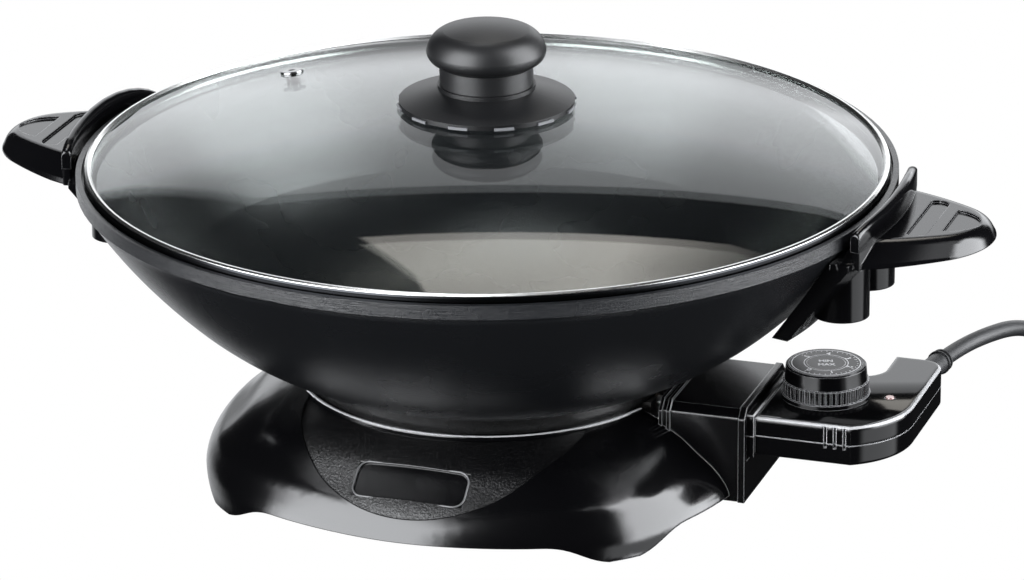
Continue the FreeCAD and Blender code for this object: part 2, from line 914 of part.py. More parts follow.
def make_lid_ring():
    """Rolled steel channel around the edge of the glass."""
    body = new_body("lid_rim_ring")
    under = glass_height(glass_radius, glass_inner_bow) - s.lid_seat_gap / 2
    over = glass_edge_top + s.lid_seat_gap / 2
    bevel = s.ring_height / 4
    slot = glass_radius + s.lid_seat_gap / 2
    lip_under = ring_bottom + s.ring_wall / 2
    rise = (slot - ring_inner_radius) * glass_radius / glass_bow
    revolve(body, [
        (ring_inner_radius, lip_under),
        (ring_inner_radius + s.ring_wall, ring_bottom),
        (ring_radius - bevel, ring_bottom),
        (ring_radius - bevel / 3, ring_bottom + bevel / 3),
        (ring_radius, ring_bottom + bevel),
        (ring_radius, ring_top - bevel),
        (ring_radius - bevel / 3, ring_top - bevel / 3),
        (ring_radius - bevel, ring_top),
        (ring_inner_radius + s.ring_wall, ring_top),
        (ring_inner_radius, over + rise),
        (slot, over),
        (slot, under),
        (ring_inner_radius, under + rise),
    ])


def make_knob_seal():
    """Silicone disc between the glass and the knob's skirt."""
    body = new_body("knob_seal")
    bottom = glass_apex
    revolve(body, rectangle(s.lid_hole_radius, s.knob_seal_radius, bottom,
                            bottom + s.knob_seal_thickness))


def make_knob_skirt():
    """Heat guard: shallow cone with a thin rim and tabs all round it."""
    body = new_body("knob_skirt")
    seat = glass_apex + s.knob_seal_thickness
    inner_rim = s.skirt_radius - s.skirt_rim_width
    hollow = skirt_rim_top - s.skirt_rim_width
    disc = revolve(body, [
        (s.lid_hole_radius, seat),
        (s.knob_seal_radius + s.skirt_rim_width, seat),
        (s.knob_seal_radius + s.skirt_rim_width * 2, seat + s.skirt_rim_width),
        (inner_rim, hollow),
        (inner_rim, skirt_rim_bottom),
        (s.skirt_radius, skirt_rim_bottom),
        (s.skirt_radius, skirt_rim_top),
        (s.skirt_step_radius, skirt_cone_top),
        (s.skirt_step_radius, skirt_top),
        (s.lid_hole_radius, skirt_top),
    ])
    half = s.skirt_tab_width / 2
    tab = block(body, inner_rim, s.skirt_radius + s.skirt_tab_thickness, -half, half,
                skirt_rim_bottom, skirt_rim_top - s.skirt_tab_depth)
    around(body, [tab], s.skirt_tab_count)
    return disc


def make_knob():
    body = new_body("lid_knob")
    insert_top = skirt_top + s.knob_insert_length
    flare = (s.knob_radius - s.knob_neck_radius) * 0.6
    revolve(body, [
        (s.knob_insert_radius, skirt_top),
        (s.knob_neck_radius, skirt_top),
        (s.knob_neck_radius, knob_neck_top),
        (s.knob_neck_radius + flare, knob_neck_top + flare * 0.6, bow(flare * 1.6)),
        (s.knob_radius, knob_widest_height, bow(knob_top - knob_widest_height)),
        (s.knob_crown_radius, knob_crown_height,
         bow(dome(s.knob_crown_radius, knob_top - knob_crown_height))),
        (0, knob_top),
        (0, insert_top),
        (s.knob_insert_radius, insert_top),
    ])


def make_knob_insert():
    """Threaded brass insert moulded into the knob."""
    body = new_body("knob_insert")
    revolve(body, rectangle(s.knob_screw_radius, s.knob_insert_radius - s.clamp_gap / 2,
                            skirt_top, skirt_top + s.knob_insert_length))


def make_knob_washer():
    """Steel washer against the underside of the glass."""
    body = new_body("knob_washer")
    top = glass_apex - s.glass_thickness - s.clamp_gap
    revolve(body, rectangle(s.knob_screw_radius + s.lid_seat_gap, s.knob_washer_radius,
                            top - s.knob_washer_thickness, top))


def make_knob_screw():
    body = new_body("knob_screw")
    seat = glass_apex - s.glass_thickness - s.clamp_gap - s.knob_washer_thickness
    reach = skirt_top + s.knob_insert_length * 0.8 - seat
    head_height = s.knob_washer_thickness * 2
    turned_screw(body, s.knob_screw_head, head_height,
                 s.knob_screw_radius - s.clamp_gap / 4, reach)
    cross_recess(body, s.knob_screw_head / 4, head_height / 2, head_height)
    place(body, 0, 0, seat)


# ---------------------------------------------------------------- handles

def grip_outline(root_half_width, tip):
    """Plan of the tongue-shaped grip at one level."""
    shoulder_x = tip - s.grip_tip_depth
    shoulder_y = root_half_width * s.grip_tip_share
    tip_bow = dome(shoulder_y, s.grip_tip_depth)
    return [
        (grip_root, -root_half_width, bow(s.grip_side_bow)),
        (shoulder_x, -shoulder_y, bow(tip_bow)),
        (shoulder_x, shoulder_y, bow(s.grip_side_bow)),
        (grip_root, root_half_width),
    ]


def loft(body, sketches):
    feature = body.newObject("PartDesign::AdditiveLoft", body.Name + "_loft")
    feature.Profile = sketches[0]
    feature.Sections = sketches[1:]
    doc.recompute()
    return feature


def make_right_handle():
    """Moulded handle: grip, guard plate, bracket along the bowl and two screw bosses."""
    body = new_body("right_handle")
    lip_top = grip_bottom + s.grip_lip
    levels = [
        (grip_bottom, s.grip_root_half_width, grip_tip),
        (lip_top, s.grip_root_half_width - s.rim_clearance, grip_tip - s.rim_clearance),
        (grip_top, s.grip_top_half_width, grip_top_tip),
    ]
    sections = [draw(new_sketch(body, "XY_Plane", height), grip_outline(width, tip))
                for height, width, tip in levels]
    loft(body, sections[:2])
    upper = loft(body, sections[1:])
    soften(body, upper, edge_at(grip_top, lambda edge: edge.BoundBox.XMax
                                > grip_root.number + 1), s.grip_crown_round)
    raise_tip(body)
    guard_inner = guard_radius - s.guard_thickness
    revolve(body, [
        (guard_inner, grip_bottom),
        (guard_radius, grip_bottom),
        (guard_radius, guard_top),
        (guard_inner, guard_top),
    ], angle=s.guard_angle)
    outer_low = bracket_inner_radius + s.bracket_thickness
    revolve(body, [
        (bracket_inner_radius - s.bracket_thickness, bracket_bottom),
        (outer_low, bracket_bottom),
        (outer_low + grip_bottom - bracket_bottom - s.bracket_thickness, grip_bottom),
        (outer_low + grip_bottom - bracket_bottom - s.bracket_thickness,
         grip_bottom + s.grip_lip),
        (bracket_inner_radius - s.bracket_thickness, grip_bottom + s.grip_lip),
    ], angle=s.bracket_angle)
    for y in (half_lugs, -half_lugs):
        column(body, handle_boss_reach, y, s.handle_boss_radius,
               handle_boss_bottom, grip_bottom + s.grip_lip)
    clear_bowl(body)
    fasten_handle(body)
    return finish_grip(body)


def raise_tip(body):
    """Slants the underside of the grip up towards its tip."""
    sketch = new_sketch(body, "XZ_Plane", -s.grip_root_half_width * 1.5)
    draw(sketch, [
        (grip_tip - s.grip_rise_length, grip_bottom),
        (grip_tip + s.grip_lip, grip_bottom - s.grip_lip),
        (grip_tip + s.grip_lip, grip_bottom + s.grip_rise * (1 + s.grip_lip / s.grip_rise_length)),
    ])
    extrude(body, sketch, s.grip_root_half_width * 3, cut=True)


def clear_bowl(body):
    """Cuts the handle back from the bowl's wall and rim band."""
    rim = s.rim_radius + s.rim_clearance
    wall = wall_top_radius + s.rim_clearance
    deep = bracket_inner_radius - s.bracket_thickness * 3
    revolve(body, [
        (deep, bracket_bottom - s.grip_lip),
        (bracket_inner_radius - s.grip_lip, bracket_bottom - s.grip_lip),
        (bracket_inner_radius, bracket_bottom),
        (wall, band_bottom - s.rim_clearance),
        (rim, band_bottom + s.rim_clearance),
        (rim, guard_top + s.grip_lip),
        (deep, guard_top + s.grip_lip),
    ], cut=True)


def fasten_handle(body):
    """Pockets for the bowl's lugs, and a stepped screw hole up each boss."""
    seat = lug_bottom - s.handle_web
    for y in (half_lugs, -half_lugs):
        half = s.lug_half_width + s.lug_clearance
        block(body, lug_root, lug_reach + s.lug_clearance, y - half, y + half,
              lug_bottom, lug_top + s.lug_clearance, cut=True)
        column(body, handle_screw_reach, y, s.handle_screw_radius + s.lug_clearance,
               seat, lug_bottom, cut=True)
        column(body, handle_screw_reach, y, s.handle_screw_head + s.lug_clearance * 2,
               handle_boss_bottom, seat, cut=True)


def finish_grip(body):
    """Sinks the two thumb windows into the top of the grip and rounds the guard's ends."""
    floor_height = grip_top - s.window_depth
    first_end = window_start + s.window_length
    half = s.window_half_width
    inner = s.window_length * 0.45
    sketch = new_sketch(body, "XY_Plane", floor_height)
    draw(sketch, [
        (window_start, -half, bow(inner * 1.3)),
        (first_end, inner - half),
        (first_end, half - inner, bow(inner * 1.3)),
        (window_start, half),
    ])
    tip_half = s.window_tip_half_width
    draw(sketch, [
        (first_end + s.window_gap, -tip_half, bow(tip_half * 1.15)),
        (window_tip, 0, bow(tip_half * 1.15)),
        (first_end + s.window_gap, tip_half),
    ])
    windows = extrude(body, sketch, s.window_depth * 2, cut=True)
    rounded = soften(body, windows, guard_end_edge, s.guard_end_round)
    return soften(body, rounded, guard_top_edge, s.guard_edge_round)


def guard_top_edge(edge):
    """The long curved edges along the guard's top."""
    box = edge.BoundBox
    flat = box.ZMax - box.ZMin < 1e-4 and abs(box.ZMax - guard_top.number) < 1e-4
    return flat and edge.Length > s.guard_thickness.number * 3


def guard_end_edge(edge):
    """The short radial edges at the guard's two upper corners."""
    box = edge.BoundBox
    flat = box.ZMax - box.ZMin < 1e-4 and abs(box.ZMax - guard_top.number) < 1e-4
    return flat and edge.Length < s.guard_thickness.number * 1.2


def make_left_handle():
    """The right handle's mirror image."""
    mirror = doc.addObject("Part::Mirroring", "left_handle")
    mirror.Source = next(item for item in parts if item.Label == "right_handle")
    mirror.Normal = Vector(1, 0, 0)
    keep(mirror, "left_handle")


def make_handle_screws():
    """Four screws, one up each handle boss into the bowl's lugs."""
    def one(body):
        turned_screw(body, s.handle_screw_head, s.handle_screw_head_height,
                     s.handle_screw_radius - s.clamp_gap / 4, s.handle_screw_length)
        cross_recess(body, s.handle_screw_head / 4, s.handle_screw_head_height / 2,
                     s.handle_screw_head_height)

    seat = lug_bottom - s.handle_web
    seated("handle_screws", one, [(x, y, seat)
                                  for x in (handle_screw_reach, -handle_screw_reach)
                                  for y in (half_lugs, -half_lugs)])


# ---------------------------------------------------------------- base

LOBES = 4
RING_POINTS = 48
LOBE_SHARPNESS = 1.8


def lobed_ring(side_radius, lobe_radius, height):
    """Closed smooth curve that bulges at the four feet."""
    points = []
    for step in range(RING_POINTS):
        angle = 2 * math.pi * step / RING_POINTS
        share = ((1 - math.cos(LOBES * angle)) / 2) ** LOBE_SHARPNESS
        radius = side_radius + (lobe_radius - side_radius) * share
        points.append(Vector(radius * math.cos(angle), radius * math.sin(angle), height))
    curve = Part.BSplineCurve()
    curve.interpolate(Points=points, PeriodicFlag=True)
    return Part.Wire(curve.toShape())


def base_form(inset):
    """Solid bell of the base, drawn in by an inset on all its outer faces."""
    seat = s.seat_radius.number
    side = s.side_radius.number
    lobe = s.lobe_radius.number
    top = s.foot_bottom.number
    bottom = s.base_lift.number
    span = lobe - seat
    drop = top - bottom
    # height share, then how far out the section is between the feet and over a foot
    section = [
        (0.000, 1.000, 1.000),
        (0.198, 1.000, 0.986),
        (0.298, 0.964, 0.957),
        (0.401, 0.887, 0.913),
        (0.521, 0.759, 0.847),
        (0.610, 0.639, 0.754),
        (0.722, 0.506, 0.620),
        (0.833, 0.337, 0.434),
        (0.922, 0.169, 0.227),
        (0.966, 0.077, 0.103),
        (0.988, 0.027, 0.037),
        (1.000, 0.000, 0.000),
    ]
    rings = []
    for rise, side_share, lobe_share in section:
        height = bottom + drop * rise - inset * rise
        side_radius = seat + (side - seat) * side_share - inset
        lobe_radius = seat + span * lobe_share - inset
        rings.append(lobed_ring(side_radius, lobe_radius, height))
    return Part.makeLoft(rings, True, False)


def box_between(x_low, x_high, y_low, y_high, z_low, z_high):
    corner = Vector(x_low, y_low, z_low)
    return Part.makeBox(x_high - x_low, y_high - y_low, z_high - z_low, corner)


def hood_outside():
    """Tunnel that sticks out under the right handle, with its mouth lip and two ribs."""
    half = s.hood_half_width.number
    top = s.hood_top.number
    low = s.hood_bottom.number
    start = s.hood_start.number
    face = s.hood_face.number
    lip = s.hood_lip.number
    rib = s.hood_rib_width.number
    pieces = [(start, face, 0), (face - s.hood_lip_length.number + lip, face + lip, lip)]
    for count in range(2):
        rib_start = start + count * (rib + s.hood_rib_gap.number)
        pieces.append((rib_start, rib_start + rib, lip))
    shapes = []
    for x_low, x_high, proud in pieces:
        width = half + proud
        bottom = low if proud == 0 or x_high > face else top - s.hood_half_width.number * 0.4
        shape = box_between(x_low, x_high, -width, width, bottom, top + proud)
        bevel = s.hood_bevel.number + proud
        edges = [edge for edge in shape.Edges
                 if edge.BoundBox.ZMin > top + proud - 1e-4 and edge.BoundBox.XLength > 1e-4]
        shapes.append(shape.makeChamfer(bevel, edges))
    return shapes[0].multiFuse(shapes[1:])


def hood_inside():
    """Passage for the controller's nose, and the hollow under its sill."""
    half = s.hood_half_width.number - s.hood_wall.number
    roof = s.hood_top.number - s.hood_wall.number
    face = s.hood_face.number
    lip = s.hood_lip.number
    inner = s.seat_opening_radius.number * 0.8
    passage = box_between(inner, face + lip * 2, -half, half, s.hood_sill.number, roof)
    edges = [edge for edge in passage.Edges
             if edge.BoundBox.ZMin > roof - 1e-4 and edge.BoundBox.XLength > 1e-4]
    passage = passage.makeChamfer(s.hood_lip.number, edges)
    below = box_between(inner, face - s.hood_wall.number, -half, half,
                        -s.skin_thickness.number, s.hood_sill.number)
    return passage.fuse(below)


def arch_cutter():
    """Shape that lifts the base's lower edge between two feet, along X."""
    top = s.arch_height.number
    flat = s.arch_flat_half_width.number
    wide = s.arch_half_width.number
    low = 0
    under = -s.skin_thickness.number
    ease = (wide - flat) / 2
    curve = Part.BSplineCurve()
    curve.buildFromPoles([Vector(0, -wide, low), Vector(0, -wide + ease, low),
                          Vector(0, -flat - ease, top), Vector(0, -flat, top)], False, 3)
    other = Part.BSplineCurve()
    other.buildFromPoles([Vector(0, flat, top), Vector(0, flat + ease, top),
                          Vector(0, wide - ease, low), Vector(0, wide, low)], False, 3)
    edges = [
        curve.toShape(),
        Part.LineSegment(Vector(0, -flat, top), Vector(0, flat, top)).toShape(),
        other.toShape(),
        Part.LineSegment(Vector(0, wide, low), Vector(0, wide, under)).toShape(),
        Part.LineSegment(Vector(0, wide, under), Vector(0, -wide, under)).toShape(),
        Part.LineSegment(Vector(0, -wide, under), Vector(0, -wide, low)).toShape(),
    ]
    face = Part.Face(Part.Wire(edges))
    reach = s.lobe_radius.number * 1.2
    return face.extrude(Vector(reach, 0, 0))


def rounded_plate(length, height, depth, corner):
    """Plate about the origin with its corners rounded in plan."""
    plate = box_between(-length / 2, length / 2, -height / 2, height / 2, -depth, depth)
    edges = [edge for edge in plate.Edges if edge.BoundBox.ZLength > depth]
    return plate.makeFillet(corner, edges)


def label_block():
    """Block that stands square on the middle of the base's front slope."""
    length = s.label_length.number
    height = s.label_height.number
    block_shape = rounded_plate(length, height, height, height * 0.3)
    spot = Vector(0, -s.label_reach.number, s.label_centre_height.number)
    block_shape.Placement = Placement(spot, Rotation(Vector(1, 0, 0), s.label_slope.number))
    return block_shape


def panel_block():
    """Upright round block, outside the seat bead, that bounds the grained front panel."""
    spot = Vector(0, -s.panel_reach.number, 0)
    height = s.foot_bottom.number
    drum = Part.makeCylinder(s.panel_radius.number, height, spot)
    bead_edge = s.bead_reach.number + s.bead_radius.number * 1.2
    return drum.cut(Part.makeCylinder(bead_edge, height))


def front_recesses(form):
    """Grained panel and bare label place, each sunk evenly into the front slope."""
    recesses = []
    for tool, depth in ((panel_block(), s.panel_depth), (label_block(), s.label_depth)):
        layer = form.cut(base_form(depth.number))
        recesses.append(layer.common(tool))
    return recesses


def foot_posts(form):
    """Posts that carry the rubber feet, one in each lobe."""
    posts = []
    for corner in range(LOBES):
        angle = math.pi / LOBES + corner * math.pi * 2 / LOBES
        reach = s.foot_post_reach.number
        spot = Vector(reach * math.cos(angle), reach * math.sin(angle),
                      s.foot_pad_thickness.number)
        post = Part.makeCylinder(s.foot_post_radius.number, s.foot_bottom.number, spot)
        posts.append(post.common(form))
    return posts


def make_base_shell():
    """Thin moulded bell with four feet, lifted edges, seat bead and controller hood."""
    form = base_form(0)
    skin = s.skin_thickness.number
    hollow = base_form(skin)
    hollow.translate(Vector(0, 0, -1e-3))
    reach = s.lobe_radius.number * 1.5
    under = box_between(-reach, reach, -reach, reach, -reach, s.base_lift.number + 1e-3)
    shell = form.cut(hollow).cut(under)
    seat = s.foot_bottom.number
    opening = Part.makeCylinder(s.seat_opening_radius.number, seat * 2)
    shell = shell.cut(opening)
    outside = hood_outside()
    bead = Part.makeTorus(s.bead_reach.number, s.bead_radius.number,
                          Vector(0, 0, s.bead_height.number))
    shell = shell.multiFuse(foot_posts(form) + [outside, bead])
    shell = shell.cut(hood_inside())
    for quarter in range(LOBES):
        cutter = arch_cutter()
        cutter.rotate(Vector(0, 0, 0), Vector(0, 0, 1), quarter * 360 / LOBES)
        if quarter == 0:
            cutter = cutter.cut(outside)
        shell = shell.cut(cutter)
    for recess in front_recesses(form):
        shell = shell.cut(recess)
    diagonal = s.base_screw_reach.number * math.sqrt(0.5)
    for x in (diagonal, -diagonal):
        for y in (diagonal, -diagonal):
            hole = Part.makeCylinder(s.base_screw_radius.number + s.rim_clearance.number / 2,
                                     seat, Vector(x, y, seat / 2))
            shell = shell.cut(hole)
    base = doc.addObject("Part::Feature", "base_shell")
    base.Shape = shell
    keep(base, "base_shell")


def make_base_screws():
    """Four screws from below, through the seat into the bowl's foot."""
    def one(body):
        turned_screw(body, s.base_screw_head, s.base_screw_head_height,
                     s.base_screw_radius - s.clamp_gap / 4, s.base_screw_length)

    diagonal = s.base_screw_reach * math.sqrt(0.5)
    seat = s.foot_bottom - s.skin_thickness - s.rim_clearance / 10
    seated("base_screws", one, [(x, y, seat) for x in (diagonal, -diagonal)
                                for y in (diagonal, -diagonal)])


def make_rubber_feet():
    body = new_body("rubber_feet")
    diagonal = s.foot_post_reach * math.sqrt(0.5)
    foot = column(body, diagonal, diagonal, s.foot_post_radius, 0, s.foot_pad_thickness)
    around(body, [foot], 4)


# ---------------------------------------------------------------- controller

def housing_outline():
    """Plan of the controller: straight beside the hood, then a bend to the cord's end."""
    end_round = s.arm_end_round
    return [
        (s.nose_end, -s.housing_near),
        (s.elbow_start, -s.housing_near, bow(s.elbow_bow)),
        (s.arm_outer, s.elbow_end),
        (s.arm_outer, s.arm_end - end_round, bow(end_round * 1.05)),
        (s.arm_outer - end_round, s.arm_end),
        (s.arm_inner, s.arm_end),
        (s.arm_inner, s.crook_depth, bow(s.crook_bow, outward=False)),
        (s.crook_reach, s.crook_start),
        (s.nose_end, s.housing_far),
    ]


def chamber_outline():
    """Plan of the space inside, one wall in from the housing's outline."""
    wall = s.housing_wall
    return [
        (s.nose_start + wall, wall - s.housing_near),
        (s.elbow_start - wall, wall - s.housing_near),
        (s.arm_outer - wall * 1.3, s.elbow_end),
        (s.arm_outer - wall * 1.3, s.arm_end - s.arm_end_round),
        (s.arm_outer - s.arm_end_round - wall, s.arm_end - wall * 1.4),
        (s.arm_inner + wall * 1.4, s.arm_end - wall * 1.4),
        (s.arm_inner + wall * 1.4, s.crook_start),
        (s.crook_reach, s.crook_start - wall * 2),
        (s.nose_start + wall, s.housing_far - wall * 1.4),
    ]


def housing_half(label, low, high, floor, ceiling, edge_height):
    """One half of the controller's case with its nose, chamber and openings."""
    body = new_body(label)
    upper = edge_height.number > s.parting_height.number
    sketch = draw(new_sketch(body, "XY_Plane", low), housing_outline())
    main = extrude(body, sketch, high - low)
    soften(body, main, edge_at(edge_height), s.housing_edge_round)
    if upper:
        nose_low, nose_high = low, high + s.nose_rise
    else:
        nose_low, nose_high = low - s.nose_rise, high
    nose = block(body, s.nose_start, s.nose_end, -s.nose_half_width, s.nose_half_width,
                 nose_low, nose_high)
    nose_edge = nose_high if upper else nose_low
    soften(body, nose, edge_at(nose_edge, lambda edge: edge.BoundBox.XMax
                               < s.nose_end.number + 1e-4), s.housing_edge_round / 2)
    sketch = draw(new_sketch(body, "XY_Plane", floor), chamber_outline())
    extrude(body, sketch, ceiling - floor, cut=True)
    window = s.carrier_half_width + s.carrier_clearance
    half_window = s.carrier_height / 2 + s.carrier_clearance
    block(body, s.nose_start, s.probe_end + s.housing_wall, -window, window,
          max_of(low, s.element_height - half_window),
          min_of(high, s.element_height + half_window), cut=True)
    relief_window(body, low, high)
    cut_grip_ribs(body, low, high)
    return body


def relief_window(body, low, high):
    """Opens the end of the arm around the strain relief's neck."""
    neck = s.relief_radius + s.carrier_clearance
    centre = s.relief_start_x - s.carrier_clearance
    half = neck + s.carrier_clearance * 2
    block(body, centre - half, centre + half, s.arm_end - s.housing_wall * 3,
          s.arm_end + s.housing_wall, max_of(low, s.relief_height - neck),
          min_of(high, s.relief_height + neck), cut=True)


def max_of(first, second):
    return first if first.number > second.number else second


def min_of(first, second):
    return first if first.number < second.number else second


def cut_grip_ribs(body, low, high):
    """Three upright grooves in the front of the case."""
    middle = (s.parting_height + s.housing_top) / 2 - s.grip_rib_depth * 2
    bottom = max_of(low, middle - s.grip_rib_height / 2)
    top = min_of(high, middle + s.grip_rib_height / 2)
    for count in range(3):
        start = s.grip_rib_start + s.grip_rib_spacing * count
        block(body, start, start + s.grip_rib_width, -s.housing_near,
              s.grip_rib_depth - s.housing_near, bottom, top, cut=True)


def post_places():
    """Plan places of the three screws that close the case."""
    inset = s.screw_post_radius + s.housing_wall
    return [
        (s.carrier_end + inset * 2, inset * 0.9 - s.housing_near),
        (s.elbow_start, inset * 1.4 - s.housing_near),
        (s.crook_reach - inset * 0.4, s.crook_start - inset * 1.5),
    ]


def make_upper_housing():
    low = s.parting_height + s.parting_gap / 2
    body = housing_half("controller_upper_housing", low, s.housing_top, low,
                        s.housing_top - s.housing_wall, s.housing_top)
    for x, y in post_places():
        column(body, x, y, s.screw_post_radius, low, s.housing_top - s.housing_wall / 2)
        column(body, x, y, s.housing_screw_radius, low,
               s.housing_top - s.housing_wall, cut=True)
    column(body, dial_reach, s.dial_offset, s.spindle_radius + s.spindle_hole_clearance,
           low, s.housing_top, cut=True)
    column(body, lamp_reach, s.lamp_offset, s.lens_radius + s.parting_gap / 2,
           low, s.housing_top, cut=True)
    return body


def make_lower_housing():
    high = s.parting_height - s.parting_gap / 2
    floor = s.housing_bottom + s.housing_wall
    body = housing_half("controller_lower_housing", s.housing_bottom, high, floor, high,
                        s.housing_bottom)
    head_space = s.housing_wall * 0.8
    for x, y in post_places():
        column(body, x, y, s.screw_post_radius, floor, high)
        column(body, x, y, s.housing_screw_radius + s.carrier_clearance,
               s.housing_bottom, high, cut=True)
        column(body, x, y, s.housing_screw_head + s.carrier_clearance,
               s.housing_bottom, s.housing_bottom + head_space, cut=True)
    return body


def make_housing_screws():
    def one(body):
        turned_screw(body, s.housing_screw_head, s.housing_wall * 0.7,
                     s.housing_screw_radius - s.clamp_gap / 4, s.housing_screw_length)

    seat = s.housing_bottom + s.housing_wall * 0.8
    seated("housing_screws", one, [(x, y, seat) for x, y in post_places()])


def make_carrier():
    """Ceramic carrier in the nose, bored for the sockets and the probe."""
    body = new_body("terminal_carrier")
    half_height = s.carrier_height / 2
    block(body, s.carrier_start, s.carrier_end, -s.carrier_half_width, s.carrier_half_width,
          s.element_height - half_height, s.element_height + half_height)
    for y in (half_terminal, -half_terminal):
        bar(body, y, s.element_height, s.socket_radius + s.parting_gap / 2,
            s.carrier_start, s.carrier_end, cut=True)
    bar(body, 0, s.element_height, s.probe_radius + s.parting_gap / 2,
        s.carrier_start, s.carrier_end, cut=True)


def make_contact_sockets():
    """Brass sleeves that take the terminal pins."""
    body = new_body("contact_sockets")
    for y in (half_terminal, -half_terminal):
        bar(body, y, s.element_height, s.socket_radius, s.carrier_start, s.socket_end)
        bar(body, y, s.element_height, s.socket_bore, s.carrier_start,
            s.socket_end - s.housing_wall, cut=True)


def make_probe():
    """Steel probe with a domed tip, crimped behind the carrier."""
    body = new_body("probe_rod")
    rod = bar(body, 0, s.element_height, s.probe_radius, s.probe_tip, s.probe_end)
    soften(body, rod, lambda edge: edge.BoundBox.XMax < s.probe_tip.number + 1e-4,
           s.probe_radius * 0.7)
    flange_start = s.carrier_end + s.parting_gap
    bar(body, 0, s.element_height, s.probe_flange_radius,
        flange_start, flange_start + s.probe_flange_thickness)


def make_thermostat():
    """Switch block under the dial, with the bush that carries the spindle."""
    body = new_body("thermostat_switch")
    half = s.thermostat_width / 2
    block(body, dial_reach - half, dial_reach + half, s.dial_offset - half,
          s.dial_offset + half, s.thermostat_bottom, s.thermostat_top)
    column(body, dial_reach, s.dial_offset, s.bush_radius, s.thermostat_top, s.bush_top)
    column(body, dial_reach, s.dial_offset, s.spindle_radius + s.spindle_fit,
           s.spindle_bottom - s.housing_wall, s.bush_top, cut=True)


def make_lens():
    """Small clear lens of the pilot lamp, flush in the top of the case."""
    body = new_body("indicator_lens")
    revolve(body, [
        (0, -s.housing_wall),
        (s.lens_radius - s.parting_gap, -s.housing_wall),
        (s.lens_radius - s.parting_gap, 0),
        (s.lens_radius - s.parting_gap * 2, s.lens_stand),
        (0, s.lens_stand),
    ])
    place(body, lamp_reach, s.lamp_offset, s.housing_top)


def make_lamp():
    """Pilot lamp bulb below its lens, on a short base."""
    body = new_body("indicator_lamp")
    top = s.housing_top - s.housing_wall - s.parting_gap
    floor = s.housing_bottom + s.housing_wall
    revolve(body, [
        (0, floor),
        (s.lamp_radius, floor),
        (s.lamp_radius, top - s.lamp_radius, bow(s.lamp_radius)),
        (0, top),
    ])
    place(body, lamp_reach, s.lamp_offset, 0)


def make_strain_relief():
    """Tapered rubber sleeve with a flange inside the case and two rings outside."""
    body = new_body("strain_relief")
    flange = s.housing_wall * 0.8
    bore = s.cord_radius
    inner_end = -s.housing_wall * 2
    ring_start = s.relief_length - s.relief_ring_width * 2 - s.relief_ring_spacing
    ring_end = ring_start + s.relief_ring_width
    second = ring_start + s.relief_ring_spacing
    second_end = second + s.relief_ring_width
    revolve(body, [
        (0, inner_end - flange),
        (s.relief_radius, inner_end - flange),
        (s.relief_radius, ring_start),
        (s.relief_ring_radius, ring_start + s.relief_ring_width * 0.3),
        (s.relief_ring_radius, ring_end - s.relief_ring_width * 0.3),
        (s.relief_end_radius, ring_end),
        (s.relief_end_radius, second),
        (s.relief_ring_radius - s.parting_gap * 2, second + s.relief_ring_width * 0.3),
        (s.relief_ring_radius - s.parting_gap * 2, second_end - s.relief_ring_width * 0.3),
        (s.relief_end_radius, second_end),
        (bore, s.relief_length),
        (0, s.relief_length),
    ])
    turn = Rotation(Vector(0, 0, 1), 0 - s.relief_angle.number) * Rotation(Vector(1, 0, 0), -90)
    place(body, s.relief_start_x, s.arm_end, s.relief_height, rotation=turn)


# ---------------------------------------------------------------- dial

def make_dial_grip():
    """Knurled cup of the temperature dial."""
    body = new_body("dial_grip")
    knurl_bottom = dial_bottom + s.dial_flange_height
    knurl_top = knurl_bottom + s.dial_knurl_height
    rim = s.dial_face_radius + s.parting_gap
    face_seat = dial_top - s.dial_face_thickness - s.parting_gap
    hub = s.spindle_radius + s.dial_wall
    inner = s.dial_radius - s.dial_wall * 1.5
    ceiling = face_seat - s.dial_wall
    bore = s.spindle_radius + s.clamp_gap / 10
    revolve(body, [
        (bore, dial_bottom + s.dial_wall),
        (hub, dial_bottom + s.dial_wall),
        (hub, ceiling),
        (inner, ceiling),
        (inner, dial_bottom),
        (s.dial_flange_radius, dial_bottom),
        (s.dial_flange_radius, knurl_bottom - s.parting_gap),
        (s.dial_radius, knurl_bottom),
        (s.dial_radius, knurl_top),
        (s.dial_radius - s.dial_knurl_depth, knurl_top + s.parting_gap * 2),
        (s.dial_top_radius, dial_top - s.parting_gap * 4),
        (s.dial_top_radius - s.parting_gap * 4, dial_top),
        (rim, dial_top),
        (rim, face_seat),
        (bore, face_seat),
    ])
    half = s.dial_knurl_depth * 0.9
    sketch = draw(new_sketch(body, "XY_Plane", knurl_bottom), [
        (s.dial_radius - s.dial_knurl_depth, 0),
        (s.dial_radius + s.parting_gap, -half),
        (s.dial_radius + s.parting_gap, half),
    ])
    groove = extrude(body, sketch, s.dial_knurl_height, cut=True)
    around(body, [groove], s.dial_knurl_count)
    place(body, dial_reach, s.dial_offset, 0)


def make_dial_face():
    """Thin disc that carries the scale."""
    body = new_body("dial_face")
    revolve(body, [
        (0, dial_top - s.dial_face_thickness),
        (s.dial_face_radius, dial_top - s.dial_face_thickness),
        (s.dial_face_radius, dial_top),
        (0, dial_top),
    ])
    place(body, dial_reach, s.dial_offset, 0)


def make_dial_spindle():
    """Spindle from the thermostat up into the dial's hub."""
    body = new_body("dial_spindle")
    face_seat = dial_top - s.dial_face_thickness - s.parting_gap
    spindle = column(body, 0, 0, s.spindle_radius, s.spindle_bottom, face_seat)
    place(body, dial_reach, s.dial_offset, 0)
    return spindle


# ---------------------------------------------------------------- cord and plug

CORD_ROUTE = [
    (191.4, 85.5, 39.2),
    (194.3, 99.5, 39.4),
    (202.0, 120.5, 39.3),
    (210.9, 145.5, 36.0),
    (218.3, 167.5, 26.0),
    (221.9, 183.0, 11.5),
    (223.0, 203.0, 4.1),
    (223.0, 222.0, 4.0),
]

